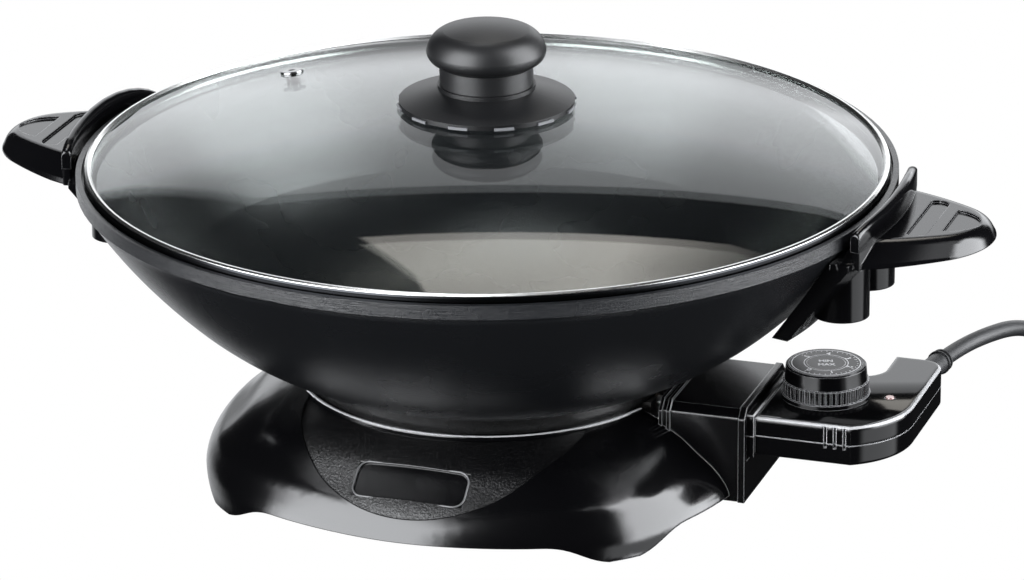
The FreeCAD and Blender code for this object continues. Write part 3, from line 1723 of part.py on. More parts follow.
TAIL_ROUTE = [
    (312.8, 216.0, 12.0),
    (312.8, 196.0, 14.6),
    (312.8, 170.0, 18.2),
]


def tangent_path(points):
    """Straight runs joined by arcs as large as the two runs beside them allow."""
    points = [Vector(*point) for point in points]
    edges = []
    here = points[0]
    for before, corner, after in zip(points, points[1:], points[2:]):
        incoming = corner - before
        outgoing = after - corner
        turn = incoming.getAngle(outgoing)
        cut_back = 0.45 * min(incoming.Length, outgoing.Length)
        print(f"cord arc radius {cut_back / math.tan(turn / 2):.1f} mm")
        start = corner - Vector(incoming).normalize() * cut_back
        end = corner + Vector(outgoing).normalize() * cut_back
        bisector = (start + end) / 2 - corner
        radius = cut_back / math.tan(turn / 2)
        to_arc = math.hypot(radius, cut_back) - radius
        middle = corner + bisector.normalize() * to_arc
        edges.append(Part.LineSegment(here, start).toShape())
        edges.append(Part.Arc(start, middle, end).toShape())
        here = end
    edges.append(Part.LineSegment(here, points[-1]).toShape())
    return Part.Wire(edges)


def make_cord(label, route):
    """Round cord swept along its route, with its volume compared with length times section."""
    path = tangent_path(route)
    radius = s.cord_radius.number
    start = Vector(*route[0])
    heading = Vector(*route[1]) - start
    section = Part.Face(Part.Wire(Part.makeCircle(radius, start, heading)))
    cord = doc.addObject("Part::Feature", label)
    cord.Shape = path.makePipe(section)
    expected = path.Length * math.pi * radius ** 2
    print(f"{label}: {path.Length:.1f} mm, volume {cord.Shape.Volume / expected:.4f} of expected")
    keep(cord, label)


def make_coil():
    """Outer shape of the tidy coil: two turns side by side, two high."""
    body = new_body("cord_coil")
    thick = s.cord_radius * 2
    soft = s.cord_radius * 0.8
    low = s.parting_gap
    high = low + thick * 2
    revolve(body, [
        (s.coil_radius - thick + soft, low),
        (s.coil_radius + thick - soft, low, bow(soft * 1.02)),
        (s.coil_radius + thick, low + soft),
        (s.coil_radius + thick, high - soft, bow(soft * 1.02)),
        (s.coil_radius + thick - soft, high),
        (s.coil_radius - thick + soft, high, bow(soft * 1.02)),
        (s.coil_radius - thick, high - soft),
        (s.coil_radius - thick, low + soft, bow(soft * 1.02)),
    ])
    place(body, s.coil_centre_x, s.coil_centre_y, 0)


def make_coil_tie():
    """Flat tie around the bundle, on the far side of the coil."""
    body = new_body("coil_tie")
    thick = s.cord_radius * 2 + s.parting_gap * 2
    band = s.parting_gap * 5
    low = 0
    high = s.cord_radius * 4 + s.parting_gap * 3
    half = s.tie_width / 2
    block(body, -half, half, s.coil_radius - thick - band, s.coil_radius + thick + band,
          low, high + band)
    block(body, -half, half, s.coil_radius - thick, s.coil_radius + thick, low, high, cut=True)
    place(body, s.coil_centre_x, s.coil_centre_y, 0)


def make_plug_sleeve():
    """Tapered sleeve where the cord enters the plug; it points away from the plug along Y."""
    body = new_body("plug_sleeve")
    revolve(body, [
        (0, -s.plug_sleeve_length),
        (s.plug_sleeve_radius, -s.plug_sleeve_length),
        (s.cord_radius + s.parting_gap * 4, 0),
        (0, 0),
    ])
    place(body, s.plug_centre_x, s.plug_sleeve_start_y, s.plug_centre_height,
          rotation=Rotation(Vector(1, 0, 0), -90))


def make_plug_body():
    """Moulded round plug body, lying on its side."""
    body = new_body("plug_body")
    neck = s.plug_neck_radius
    turned = revolve(body, [
        (0, 0),
        (neck, 0),
        (neck, -s.plug_length * 0.3),
        (s.plug_radius, -s.plug_length * 0.55),
        (s.plug_radius, -s.plug_length),
        (0, -s.plug_length),
    ])
    start = s.plug_sleeve_start_y - s.plug_sleeve_length
    place(body, s.plug_centre_x, start, s.plug_centre_height,
          rotation=Rotation(Vector(1, 0, 0), -90))
    return turned


def make_plug_pins():
    """Two round pins on the plug's face."""
    body = new_body("plug_pins")
    half = s.plug_pin_spacing / 2
    for x in (half, -half):
        column(body, x, 0, s.plug_pin_radius, -s.plug_pin_length, 0)
    face = s.plug_sleeve_start_y - s.plug_sleeve_length - s.plug_length
    place(body, s.plug_centre_x, face, s.plug_centre_height,
          rotation=Rotation(Vector(1, 0, 0), -90))


# ---------------------------------------------------------------- build and write

def make_all():
    make_bowl()
    make_element()
    make_terminal_pins()
    make_inlet_block()
    make_clamp_plate()
    make_clamp_screw()
    make_lid_glass()
    make_lid_ring()
    make_steam_vent()
    make_knob_seal()
    make_knob_skirt()
    make_knob()
    make_knob_insert()
    make_knob_washer()
    make_knob_screw()
    make_right_handle()
    make_left_handle()
    make_handle_screws()
    make_base_shell()
    make_base_screws()
    make_rubber_feet()
    make_upper_housing()
    make_lower_housing()
    make_housing_screws()
    make_carrier()
    make_contact_sockets()
    make_probe()
    make_thermostat()
    make_lens()
    make_lamp()
    make_strain_relief()
    make_dial_grip()
    make_dial_face()
    make_dial_spindle()
    make_cord("cord_tube", CORD_ROUTE)
    make_cord("cord_tail", TAIL_ROUTE)
    make_coil()
    make_coil_tie()
    make_plug_sleeve()
    make_plug_body()
    make_plug_pins()


def check():
    """Stops on any failed object or bad shape."""
    for item in doc.Objects:
        if "Invalid" in item.State or "Error" in item.State:
            raise RuntimeError(f"{item.Name} failed: {item.State}")
    for item in parts:
        shape = item.Shape
        if shape.isNull() or not shape.isValid() or not shape.Solids:
            raise RuntimeError(f"{item.Label} has no valid solid")


def write():
    os.makedirs("parts", exist_ok=True)
    for item in parts:
        item.Shape.exportStep(f"parts/{item.Label}.step")
        box = item.Shape.BoundBox
        print(f"{item.Label}: {len(item.Shape.Solids)} solids, volume {item.Shape.Volume:.0f}, "
              f"x {box.XMin:.1f} {box.XMax:.1f}, y {box.YMin:.1f} {box.YMax:.1f}, "
              f"z {box.ZMin:.1f} {box.ZMax:.1f}")


make_all()
doc.recompute()
check()
write()
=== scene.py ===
"""Looks of the electric wok: camera, studio, materials, thin trim and the free cord."""

import math
from functools import cached_property

import bpy
from mathutils import Matrix, Vector
from mathutils.bvhtree import BVHTree


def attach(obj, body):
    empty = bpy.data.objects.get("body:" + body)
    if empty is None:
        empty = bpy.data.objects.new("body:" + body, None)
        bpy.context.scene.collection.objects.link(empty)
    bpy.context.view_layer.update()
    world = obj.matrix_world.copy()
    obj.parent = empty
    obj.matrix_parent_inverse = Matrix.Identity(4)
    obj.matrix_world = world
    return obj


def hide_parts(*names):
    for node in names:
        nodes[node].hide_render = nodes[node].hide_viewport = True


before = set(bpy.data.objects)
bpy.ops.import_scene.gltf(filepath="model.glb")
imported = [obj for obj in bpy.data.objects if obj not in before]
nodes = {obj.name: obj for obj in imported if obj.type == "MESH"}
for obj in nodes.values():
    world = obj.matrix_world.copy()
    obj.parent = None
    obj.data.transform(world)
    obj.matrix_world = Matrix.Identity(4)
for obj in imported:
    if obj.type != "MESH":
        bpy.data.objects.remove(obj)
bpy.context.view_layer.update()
scene = bpy.context.scene

# All lengths are in metres. The solids' own places, which materials and trim follow:
RIM_BAND_LOW = 0.1345
RIM_BAND_REACH = 0.1822
BOWL_FOOT_TOP = 0.0545
PANEL_CENTRE_Y = -0.0565
PANEL_RADIUS = 0.0657
PANEL_START = 0.0882
BEAD_INNER, BEAD_OUTER, BEAD_CREST = 0.0857, 0.0875, 0.0454
LABEL_CENTRE = Vector((0, -0.1088, 0.0307))
LABEL_SLOPE = math.radians(36)
LABEL_LENGTH, LABEL_HEIGHT = 0.0514, 0.0170
HOOD_START = 0.090
GUARD_LOW, GUARD_INNER, GUARD_OUTER = 0.1375, 0.18885, 0.19315
FLANK_SHADE_TOP, FLANK_SHADE_REACH = 0.1467, 0.1801
DOME_CENTRE_DEPTH, DOME_SURFACE = 0.4477, 0.6198
SKIRT_TAB_REACH = 0.0397
CONTROLLER_TOP, CONTROLLER_SHOULDER = 0.0468, 0.0450
CROWN_START = 0.0285
CROWN_BOW = 9.0
DIAL_AXIS = (0.1573, 0.0066)

# The camera looks along AHEAD over the table, and ASIDE is to its right.
AHEAD = (-0.3256, 0.9455, 0.0)
ASIDE = (0.9455, 0.3256, 0.0)

BUMP_DEPTH = 0.0003
# Width of the painted highlights along sharp edges.
EDGE_HIGHLIGHT_WIDTH = 0.0006

WHITE = (1.0, 1.0, 1.0)
STREAK_TONE = (0.018, 0.019, 0.021)
# Painted highlights on the seat bead's crest, the hood's edges, the controller's rolled edge and
# the hand guard's edges.
BEAD_HIGHLIGHT_TONE = (0.40, 0.40, 0.41)
HOOD_EDGE_HIGHLIGHT_TONE = (0.16, 0.16, 0.165)
ROLLED_EDGE_HIGHLIGHT_TONE = (0.30, 0.30, 0.305)
GUARD_EDGE_HIGHLIGHT_TONE = (0.10, 0.10, 0.103)
# Painted shade on the lid ring's outer side.
FLANK_SHADE_TONE = (0.025, 0.026, 0.028)
SLEEVE_TONE = (0.01, 0.01, 0.01)
# Painted highlight on the knob skirt's tabs.
TAB_HIGHLIGHT_TONE = (0.11, 0.112, 0.118)


# ---------------------------------------------------------------- node helpers

class Graph:
    """Short way to build a node tree."""

    def __init__(self, tree):
        self.tree = tree
        tree.nodes.clear()

    def add(self, kind, settings=None, **inputs):
        node = self.tree.nodes.new(kind)
        for key, value in (settings or {}).items():
            setattr(node, key, value)
        for key, value in inputs.items():
            self.feed(node, key.replace("_", " "), value)
        return node

    def feed(self, node, key, value):
        socket = node.inputs[int(key)] if key.isdigit() else node.inputs[key]
        if isinstance(value, bpy.types.NodeSocket):
            self.tree.links.new(value, socket)
        elif isinstance(value, bpy.types.Node):
            self.tree.links.new(value.outputs[0], socket)
        else:
            socket.default_value = value

    def pair(self, kind, settings, first, second):
        """Node with its first two numbered inputs fed."""
        node = self.add(kind, settings)
        self.feed(node, "0", first)
        self.feed(node, "1", second)
        return node

    def math(self, operation, first, second=0.0):
        return self.pair("ShaderNodeMath", {"operation": operation}, first, second).outputs[0]

    def minus(self, first, second):
        return self.math("SUBTRACT", first, second)

    def times(self, *factors):
        total = factors[0]
        for factor in factors[1:]:
            total = self.math("MULTIPLY", total, factor)
        return total

    def plus(self, *terms):
        total = terms[0]
        for term in terms[1:]:
            total = self.math("ADD", total, term)
        return total

    def length(self, first, second):
        return self.math("SQRT", self.plus(self.times(first, first), self.times(second, second)))

    def dot(self, first, second):
        operation = {"operation": "DOT_PRODUCT"}
        return self.pair("ShaderNodeVectorMath", operation, first, second).outputs["Value"]

    def tinted(self, color, amount):
        node = self.add("ShaderNodeVectorMath", {"operation": "SCALE"}, Scale=amount)
        self.feed(node, "0", color)
        return node.outputs[0]

    def above(self, value, limit, soft):
        """0 below the limit and 1 above it, over a soft edge."""
        node = self.add("ShaderNodeMapRange", {"interpolation_type": "SMOOTHSTEP"})
        self.feed(node, "Value", value)
        self.feed(node, "From Min", self.minus(limit, soft / 2))
        self.feed(node, "From Max", self.plus(limit, soft / 2))
        return node.outputs[0]

    def below(self, value, limit, soft):
        return self.minus(1.0, self.above(value, limit, soft))

    def within(self, value, low, high, soft):
        return self.times(self.above(value, low, soft), self.below(value, high, soft))

    def ramp(self, value, stops):
        """Colour, or shade of grey, that a value stands for."""
        node = self.add("ShaderNodeValToRGB")
        elements = node.color_ramp.elements
        while len(elements) < len(stops):
            elements.new(0.5)
        for element, (place, color) in zip(elements, stops):
            if not hasattr(color, "__len__"):
                color = (color,) * 3
            element.position = place
            element.color = (*color, 1)
        self.feed(node, "Fac", value)
        return node.outputs["Color"]

    def curve(self, value, stops):
        return self.add("ShaderNodeRGBToBW", Color=self.ramp(value, stops)).outputs[0]

    def mix_color(self, share, first, second):
        node = self.add("ShaderNodeMix", {"data_type": "RGBA"})
        self.feed(node, "0", share)
        self.feed(node, "6", first)
        self.feed(node, "7", second)
        return node.outputs[2]

    def paint(self, tone, share, color):
        """The tone with a plain colour over a share of it."""
        return self.mix_color(share, tone, (*color, 1))

    def mix_shader(self, share, first, second):
        node = self.add("ShaderNodeMixShader", Fac=share)
        self.feed(node, "1", first)
        self.feed(node, "2", second)
        return node

    def noise(self, scale, detail, roughness, where):
        node = self.add("ShaderNodeTexNoise", Vector=where, Scale=scale, Detail=detail,
                        Roughness=roughness)
        return node.outputs["Fac"]


class Place:
    """Where a shaded point is on its piece, and its reach from the bowl's axis."""

    def __init__(self, g, where):
        self.g = g
        self.where = where
        self.x, self.y, self.z = g.add("ShaderNodeSeparateXYZ", Vector=where).outputs

    @cached_property
    def reach(self):
        return self.g.length(self.x, self.y)


def new_material(name):
    material = bpy.data.materials.new(name)
    material.use_nodes = True
    return material, Graph(material.node_tree)


def sharp_edges(g):
    """1 along sharp edges and 0 elsewhere: where the painted edge highlights go."""
    rounded = g.add("ShaderNodeBevel", {"samples": 8}, Radius=EDGE_HIGHLIGHT_WIDTH)
    straight = g.add("ShaderNodeNewGeometry").outputs["Normal"]
    return g.below(g.dot(rounded, straight), 0.93, 0.08)


def surface(name, color, roughness, grain=0.0, grain_size=1.0, wear=0.0, metallic=0.0,
            coat=0.0, coat_roughness=0.1, specular=0.5, shade=0.12, stretch=(1, 1, 1),
            edge=0.0, detail=None, edge_highlight=0.0):
    """Principled surface whose colour, roughness and relief all vary a little. An edge
    size softens sharp edges, an edge highlight shade paints a lighter highlight along them, and
    a detail function adds what only some places have."""
    material, g = new_material(name)
    where = g.add("ShaderNodeTexCoord").outputs["Object"]
    stretched = g.add("ShaderNodeMapping", Vector=where, Scale=stretch)
    broad = g.noise(18.0, 3.0, 0.5, where)
    fine = g.noise(900.0 / grain_size, 2.0, 0.55, stretched)
    dark = tuple(c * (1 - shade) for c in color)
    light = tuple(min(c * (1 + shade), 1) for c in color)
    tone = g.ramp(broad, [(0.3, dark), (0.7, light)])
    rough = g.plus(roughness, g.times(g.minus(broad, 0.5), wear))
    relief = g.times(fine, grain)
    if detail:
        tone, rough, relief = detail(g, Place(g, where), tone, rough, relief)
    # Painted highlight: sharp edges get a lighter colour.
    if edge_highlight:
        tone = g.paint(tone, sharp_edges(g), (edge_highlight, edge_highlight, edge_highlight * 1.03))
    bump = g.add("ShaderNodeBump", Strength=1.0, Distance=BUMP_DEPTH, Height=relief)
    if edge:
        radius = edge(g, Place(g, where)) if callable(edge) else edge
        g.feed(bump, "Normal", g.add("ShaderNodeBevel", {"samples": 6}, Radius=radius))
    shader = g.add("ShaderNodeBsdfPrincipled", Base_Color=tone, Roughness=rough,
                   Metallic=metallic, Coat_Weight=coat, Coat_Roughness=coat_roughness,
                   Specular_IOR_Level=specular, Normal=bump)
    g.add("ShaderNodeOutputMaterial", Surface=shader)
    return material


# ---------------------------------------------------------------- details of some pieces

def rim_and_foot(g, at, tone, rough, relief):
    """The bowl's turned rim band has fine streaks round it, and its foot is grained."""
    band = g.times(g.above(at.z, RIM_BAND_LOW, 0.0015), g.above(at.reach, RIM_BAND_REACH, 0.001))
    flow = g.add("ShaderNodeMapping", Vector=at.where, Scale=(60, 60, 2600))
    streaks = g.curve(g.noise(1.0, 4.0, 0.7, flow), [(0.35, 0.0), (0.7, 1.0)])
    marks = g.times(streaks, band)
    speckle = g.ramp(g.noise(1300.0, 3.0, 0.7, at.where), [(0.35, 0.001), (0.7, 0.012)])
    tone = g.paint(tone, g.times(marks, 0.5), STREAK_TONE)
    tone = g.mix_color(g.below(at.z, BOWL_FOOT_TOP, 0.002), tone, speckle)
    return tone, rough, g.plus(relief, g.times(marks, 0.25))


def front_panel(g, at):
    """1 on the round panel in the base's front, all but the label place, and 0 elsewhere."""
    inside = g.below(g.length(at.x, g.minus(at.y, PANEL_CENTRE_Y)), PANEL_RADIUS, 0.0004)
    outside_bead = g.above(at.reach, PANEL_START, 0.0006)
    uphill = g.plus(g.times(g.minus(at.y, LABEL_CENTRE.y), math.cos(LABEL_SLOPE)),
                    g.times(g.minus(at.z, LABEL_CENTRE.z), math.sin(LABEL_SLOPE)))
    beside = g.above(g.math("ABSOLUTE", at.x), LABEL_LENGTH / 2, 0.0004)
    over_or_under = g.above(g.math("ABSOLUTE", uphill), LABEL_HEIGHT / 2, 0.0004)
    return g.times(inside, outside_bead, g.math("MAXIMUM", beside, over_or_under))


def base_marks(g, at, tone, rough, relief):
    """The front panel is grained all over, and its grain is painted lighter down its left side,
    a painted light where the lamp falls on it. The seat bead's crest and the hood's edges get
    painted highlights."""
    panel = front_panel(g, at)
    grain = g.noise(1000.0, 3.0, 0.7, at.where)
    speckle = g.ramp(grain, [(0.42, 0.001), (0.72, 0.032)])
    # Painted light: the light grain shows more down the panel's left side, where light falls.
    down_left = g.minus(g.times(at.x, -0.3), at.y)
    painted_light = g.plus(0.12, g.times(g.above(down_left, 0.107, 0.022), 0.88))
    tone = g.mix_color(g.times(panel, painted_light), tone, speckle)
    rough = g.plus(rough, g.times(panel, 0.05))
    relief = g.plus(relief, g.times(grain, panel, 1.1))
    # Painted highlights on the seat bead's crest and the hood's edges.
    bead = g.times(g.within(at.reach, BEAD_INNER, BEAD_OUTER, 0.0004),
                   g.above(at.z, BEAD_CREST, 0.0003))
    hood = g.times(sharp_edges(g), g.above(at.x, HOOD_START, 0.002))
    tone = g.paint(g.paint(tone, bead, BEAD_HIGHLIGHT_TONE), hood, HOOD_EDGE_HIGHLIGHT_TONE)
    return tone, rough, relief


def base_edges(g, at):
    """The hood's edges are rounder than the base's own, and the thin seat bead has none."""
    hood = g.times(g.above(at.x, 0.095, 0.004), 0.0008)
    bead = g.within(at.reach, 0.0853, 0.0880, 0.0004)
    return g.times(g.plus(hood, 0.0005), g.minus(1.0, bead))


def crowned_top(g, at, tone, rough, relief):
    """The controller's top falls off gently towards its front, and its rolled edge gets a
    painted highlight."""
    forward = g.minus(g.times(at.x, -AHEAD[0]), g.times(at.y, AHEAD[1]))
    past = g.math("MAXIMUM", g.minus(forward, CROWN_START), 0.0)
    fall = g.times(past, past, CROWN_BOW / BUMP_DEPTH / 2)
    relief = g.minus(relief, g.times(fall, g.above(at.z, CONTROLLER_TOP, 0.0004)))
    normal = g.add("ShaderNodeNewGeometry").outputs["Normal"]
    upward = g.add("ShaderNodeSeparateXYZ", Vector=normal).outputs["Z"]
    rolled = g.times(g.above(upward, 0.30, 0.2), g.below(upward, 0.93, 0.06),
                     g.above(at.z, CONTROLLER_SHOULDER, 0.0006))
    # Painted highlight on the rolled edge.
    return g.paint(tone, rolled, ROLLED_EDGE_HIGHLIGHT_TONE), rough, relief


def guard_edges(g, at, tone, rough, relief):
    """Painted highlights on the hand guard's edges above the grip."""
    painted_light = g.times(sharp_edges(g), g.above(at.z, GUARD_LOW, 0.001))
    return g.paint(tone, painted_light, GUARD_EDGE_HIGHLIGHT_TONE), rough, relief


def ring_sides(g, at, tone, rough, relief):
    """The ring's outer side under the bright rolled crest is painted dark, a painted shade for
    the dark it mirrors.
    """
    # Painted shade: the outer side below the crest.
    flank_shade = g.times(g.below(at.z, FLANK_SHADE_TOP, 0.0005), g.above(at.reach, FLANK_SHADE_REACH, 0.0004))
    return g.paint(tone, flank_shade, FLANK_SHADE_TONE), rough, relief


def vent_barrel(g, at, tone, rough, relief):
    """The part of the vent below the top of the glass is a black sleeve."""
    dome = g.length(at.reach, g.plus(at.z, DOME_CENTRE_DEPTH))
    return g.paint(tone, g.below(dome, DOME_SURFACE, 0.0005), SLEEVE_TONE), rough, relief


def skirt_tabs(g, at, tone, rough, relief):
    """The tabs under the knob's skirt are painted lighter, a painted highlight."""
    tabs = g.above(at.reach, SKIRT_TAB_REACH, 0.0003)
    return g.paint(tone, tabs, TAB_HIGHLIGHT_TONE), rough, relief


# ---------------------------------------------------------------- materials

def glass_material():
    """Clear sheet glass: what is behind it shows, with a Fresnel mirror on each face."""
    index = 1.5
    material, g = new_material("clear_glass")
    behind = g.add("ShaderNodeBsdfTransparent", Color=(0.93, 0.95, 0.945, 1))
    mirror = g.add("ShaderNodeBsdfGlossy", Roughness=0.0)
    back = g.add("ShaderNodeNewGeometry").outputs["Backfacing"]
    share = g.add("ShaderNodeFresnel", IOR=g.plus(index, g.times(back, 1 / index - index)))
    g.add("ShaderNodeOutputMaterial", Surface=g.mix_shader(share, behind, mirror))
    return material


coating = surface("non_stick_coating", (0.0046, 0.0050, 0.0058), 0.27, grain=0.35,
                  grain_size=0.9, wear=0.06, shade=0.08, detail=rim_and_foot)
base_gloss = surface("base_gloss_plastic", (0.0010, 0.0010, 0.0012), 0.14, grain=0.012,
                     grain_size=0.8, wear=0.02, edge=base_edges, detail=base_marks)
handle_gloss = surface("handle_gloss_plastic", (0.0015, 0.0015, 0.0018), 0.12, grain=0.02,
                       wear=0.04, edge=0.0008, detail=guard_edges)
# The controller's and the dial's sharp edges get painted highlights.
controller_gloss = surface("controller_gloss_plastic", (0.0012, 0.0012, 0.0014), 0.09,
                           grain=0.01, wear=0.02, edge=0.0005, edge_highlight=0.16)
controller_rolled = surface("controller_rolled_plastic", (0.0012, 0.0012, 0.0014), 0.09,
                            grain=0.01, wear=0.02, edge=0.002, edge_highlight=0.55,
                            detail=crowned_top)
dial_gloss = surface("dial_gloss_plastic", (0.0012, 0.0012, 0.0014), 0.13, grain=0.02,
                     wear=0.02, specular=0.25, edge=0.0005, edge_highlight=0.22)
# Painted highlight: the label's raised edge is the base's black plastic, made lighter so it
# reads bright.
label_highlight_gloss = surface("label_edge_painted_highlight", (0.07, 0.07, 0.072), 0.25, grain=0.02)
knob_satin = surface("knob_satin_plastic", (0.0035, 0.0036, 0.0040), 0.40, grain=0.12,
                     wear=0.05, specular=0.4, edge=0.0005)
skirt_satin = surface("skirt_satin_plastic", (0.0033, 0.0034, 0.0038), 0.40, grain=0.12,
                      wear=0.05, specular=0.3, detail=skirt_tabs)
steel = surface("polished_steel", (0.72, 0.72, 0.71), 0.13, grain=0.03, metallic=1.0,
                stretch=(1, 1, 8))
ring_steel = surface("ring_steel", (0.70, 0.70, 0.69), 0.22, grain=0.03, metallic=1.0,
                     detail=ring_sides)
vent_steel = surface("vent_steel", (0.34, 0.34, 0.34), 0.22, grain=0.03, metallic=1.0,
                     detail=vent_barrel)
silver_print = surface("silver_print", (0.62, 0.62, 0.63), 0.35, metallic=0.5)
plain_steel = surface("screw_steel", (0.5, 0.5, 0.5), 0.32, grain=0.1, metallic=1.0)
tinted_steel = surface("heat_tinted_steel", (0.24, 0.2, 0.17), 0.4, grain=0.15, metallic=1.0,
                       shade=0.3)
brass = surface("brass", (0.7, 0.5, 0.22), 0.28, grain=0.08, metallic=1.0)
rubber = surface("black_rubber", (0.02, 0.02, 0.02), 0.75, grain=0.4, grain_size=1.6)
cord_skin = surface("cord_skin", (0.012, 0.0125, 0.0135), 0.45, grain=0.2, grain_size=1.4)
ceramic = surface("ceramic", (0.05, 0.048, 0.045), 0.6, grain=0.15)
switch_plastic = surface("switch_plastic", (0.7, 0.66, 0.58), 0.5, grain=0.1)
lens = surface("smoked_red_lens", (0.30, 0.17, 0.16), 0.12, coat=1.0, coat_roughness=0.05)
nickel = surface("nickel", (0.66, 0.63, 0.57), 0.2, grain=0.05, metallic=1.0)
glass = glass_material()

FINISHES = {
    coating: ["wok_bowl"],
    base_gloss: ["base_shell"],
    handle_gloss: ["left_handle", "right_handle"],
    controller_gloss: ["controller_lower_housing"],
    controller_rolled: ["controller_upper_housing"],
    dial_gloss: ["dial_grip", "dial_face"],
    knob_satin: ["lid_knob"],
    skirt_satin: ["knob_skirt"],
    ring_steel: ["lid_rim_ring"],
    vent_steel: ["steam_vent"],
    steel: ["probe_rod"],
    plain_steel: ["terminal_pins", "element_clamp_plate", "clamp_screw", "base_screws",
                  "handle_screws", "knob_washer", "knob_screw", "housing_screws",
                  "dial_spindle"],
    tinted_steel: ["heating_element"],
    brass: ["knob_insert", "contact_sockets"],
    rubber: ["rubber_feet", "knob_seal", "coil_tie", "plug_body", "plug_sleeve"],
    cord_skin: ["strain_relief", "cord_tube", "cord_coil", "cord_tail"],
    ceramic: ["inlet_block", "terminal_carrier"],
    switch_plastic: ["thermostat_switch"],
    lens: ["indicator_lens"],
    glass: ["lid_glass", "indicator_lamp"],
    nickel: ["plug_pins"],
}
for finish, names in FINISHES.items():
    for name in names:
        nodes[name].data.materials.clear()
        nodes[name].data.materials.append(finish)


# ---------------------------------------------------------------- camera

def make_camera():
    data = bpy.data.cameras.new("camera")
    data.lens = 195.19
    data.clip_start = 0.05
    data.clip_end = 50
    camera = bpy.data.objects.new("camera", data)
    scene.collection.objects.link(camera)
    camera.location = (0.768927, -2.233126, 0.963694)
    camera.rotation_euler = [math.radians(a) for a in (69.53249, 0.41699, 18.58546)]
    scene.camera = camera


# ---------------------------------------------------------------- studio

def white_floor():
    """Floor that is a plain white page to the camera and lets other rays through."""
    mesh = bpy.data.meshes.new("floor")
    reach = 6.0
    corners = [(-reach, -reach, 0), (reach, -reach, 0), (reach, reach, 0), (-reach, reach, 0)]
    mesh.from_pydata(corners, [], [(0, 1, 2, 3)])
    floor = bpy.data.objects.new("floor", mesh)
    scene.collection.objects.link(floor)
    material, g = new_material("studio_floor")
    direct = g.add("ShaderNodeLightPath").outputs["Is Camera Ray"]
    through = g.add("ShaderNodeBsdfTransparent")
    page = g.add("ShaderNodeEmission", Color=(*WHITE, 1), Strength=1.0)
    g.add("ShaderNodeOutputMaterial", Surface=g.mix_shader(direct, through, page))
    mesh.materials.append(material)


# Soft panels that the object mirrors: bearings in degrees from AHEAD, to the right, with
# their softness, then rises in degrees with theirs, then how bright the panel is.
SOFT_PANELS = [
    ((-156, -99, 13), (-11, 52, 12), 11.0),  # tall, on the left, behind the camera
    ((71, 126, 14), (-12, 54, 10), 10.5),    # tall, on the right
    ((84, 140, 10), (-36, -12, 10), 1.5),    # its dim foot
    ((88, 145, 12), (56, 72, 10), 1.3),      # its dim head
    ((-122, -96, 12), (62, 70, 6), 1.0),     # small, high up on the left
    ((-26, 2, 10), (60, 76, 6), 6.0),        # strip overhead
    ((-54, 2, 28), (-34, -9, 12), 0.85),     # white table behind the object
]
NEAR_TABLE = 0.012
AMBIENT = 0.012
COOL = (0.98, 1.0, 1.03)
WARM = (1.04, 1.0, 0.93)


class View:
    """A direction, seen from the object: its bearing and rise in degrees, and its place
    x, y on a flat backdrop that stands one unit away."""

    def __init__(self, g):
        way = g.add("ShaderNodeTexCoord").outputs["Generated"]
        ahead, aside, up = (g.dot(way, axis) for axis in (AHEAD, ASIDE, (0.0, 0.0, 1.0)))
        flat = g.math("MAXIMUM", ahead, 0.02)
        self.x = g.math("DIVIDE", aside, flat)
        self.y = g.math("DIVIDE", up, flat)
        self.bearing = g.times(g.math("ARCTAN2", aside, ahead), 180 / math.pi)
        self.rise = g.times(g.math("ARCSINE", up), 180 / math.pi)


def backdrop(g, v):
    """White wall that fades upwards, under an arched ceiling and right of a slanted edge."""
    fade = g.curve(v.y, [(0.0, 0.80), (0.38, 0.78), (0.50, 0.56), (0.60, 0.47), (0.75, 0.42)])
    ceiling = g.minus(0.745, g.times(v.x, v.x, 1.4))
    slant = g.minus(g.times(v.y, 0.263), 0.408)
    left_fade = g.plus(1.0, g.times(g.math("MINIMUM", v.x, 0.0), 1.2, g.above(v.y, 0.5, 0.2)))
    return g.times(fade, 2.0, left_fade, g.below(v.y, ceiling, 0.012),
                   g.above(v.x, slant, 0.02), g.within(v.bearing, -48, 52, 26),
                   g.above(v.rise, -2, 16))


def side_shine(g, v):
    """Brighter right part of the backdrop, past a slanted edge."""
    edge = g.plus(g.times(v.y, 0.46), 0.117)
    return g.times(g.above(v.x, edge, 0.006), g.within(v.y, 0.1, 0.44, 0.08), 1.1,
                   g.below(v.x, 0.6, 0.2))


def warm_patch(g, v):
    """Warm window overhead that ends softly on its right."""
    brow = g.minus(0.99, g.times(v.x, v.x, 0.9))
    side = g.minus(g.times(v.y, 0.2), 0.357)
    glow = g.curve(g.plus(v.x, 0.5), [(0.30, 0.70), (0.55, 0.85), (0.68, 1.0), (0.78, 0.45),
                                      (0.83, 0.12), (0.9, 0.0)])
    return g.times(glow, 3.1, g.above(v.y, brow, 0.015), g.above(v.x, side, 0.012),
                   g.below(v.y, 2.2, 0.3), g.above(v.rise, 20, 4))


def studio_world():
    """White page for the camera. Mirrored rays see the backdrop, a dark ceiling with one
    warm window in it, and the soft panels."""
    world = bpy.data.worlds.new("studio")
    world.use_nodes = True
    scene.world = world
    g = Graph(world.node_tree)
    v = View(g)
    panels = [g.times(g.within(v.bearing, *bearings), g.within(v.rise, *rises), light)
              for bearings, rises, light in SOFT_PANELS]
    table = g.times(g.below(v.rise, -28, 20), NEAR_TABLE)
    plain = g.plus(backdrop(g, v), side_shine(g, v), *panels, table, AMBIENT)
    mirrored = g.pair("ShaderNodeVectorMath", {"operation": "ADD"}, g.tinted(COOL, plain),
                      g.tinted(WARM, warm_patch(g, v)))
    direct = g.add("ShaderNodeLightPath").outputs["Is Camera Ray"]
    ground = g.add("ShaderNodeBackground", Color=g.paint(mirrored, direct, WHITE), Strength=1.0)
    g.add("ShaderNodeOutputWorld", Surface=ground)


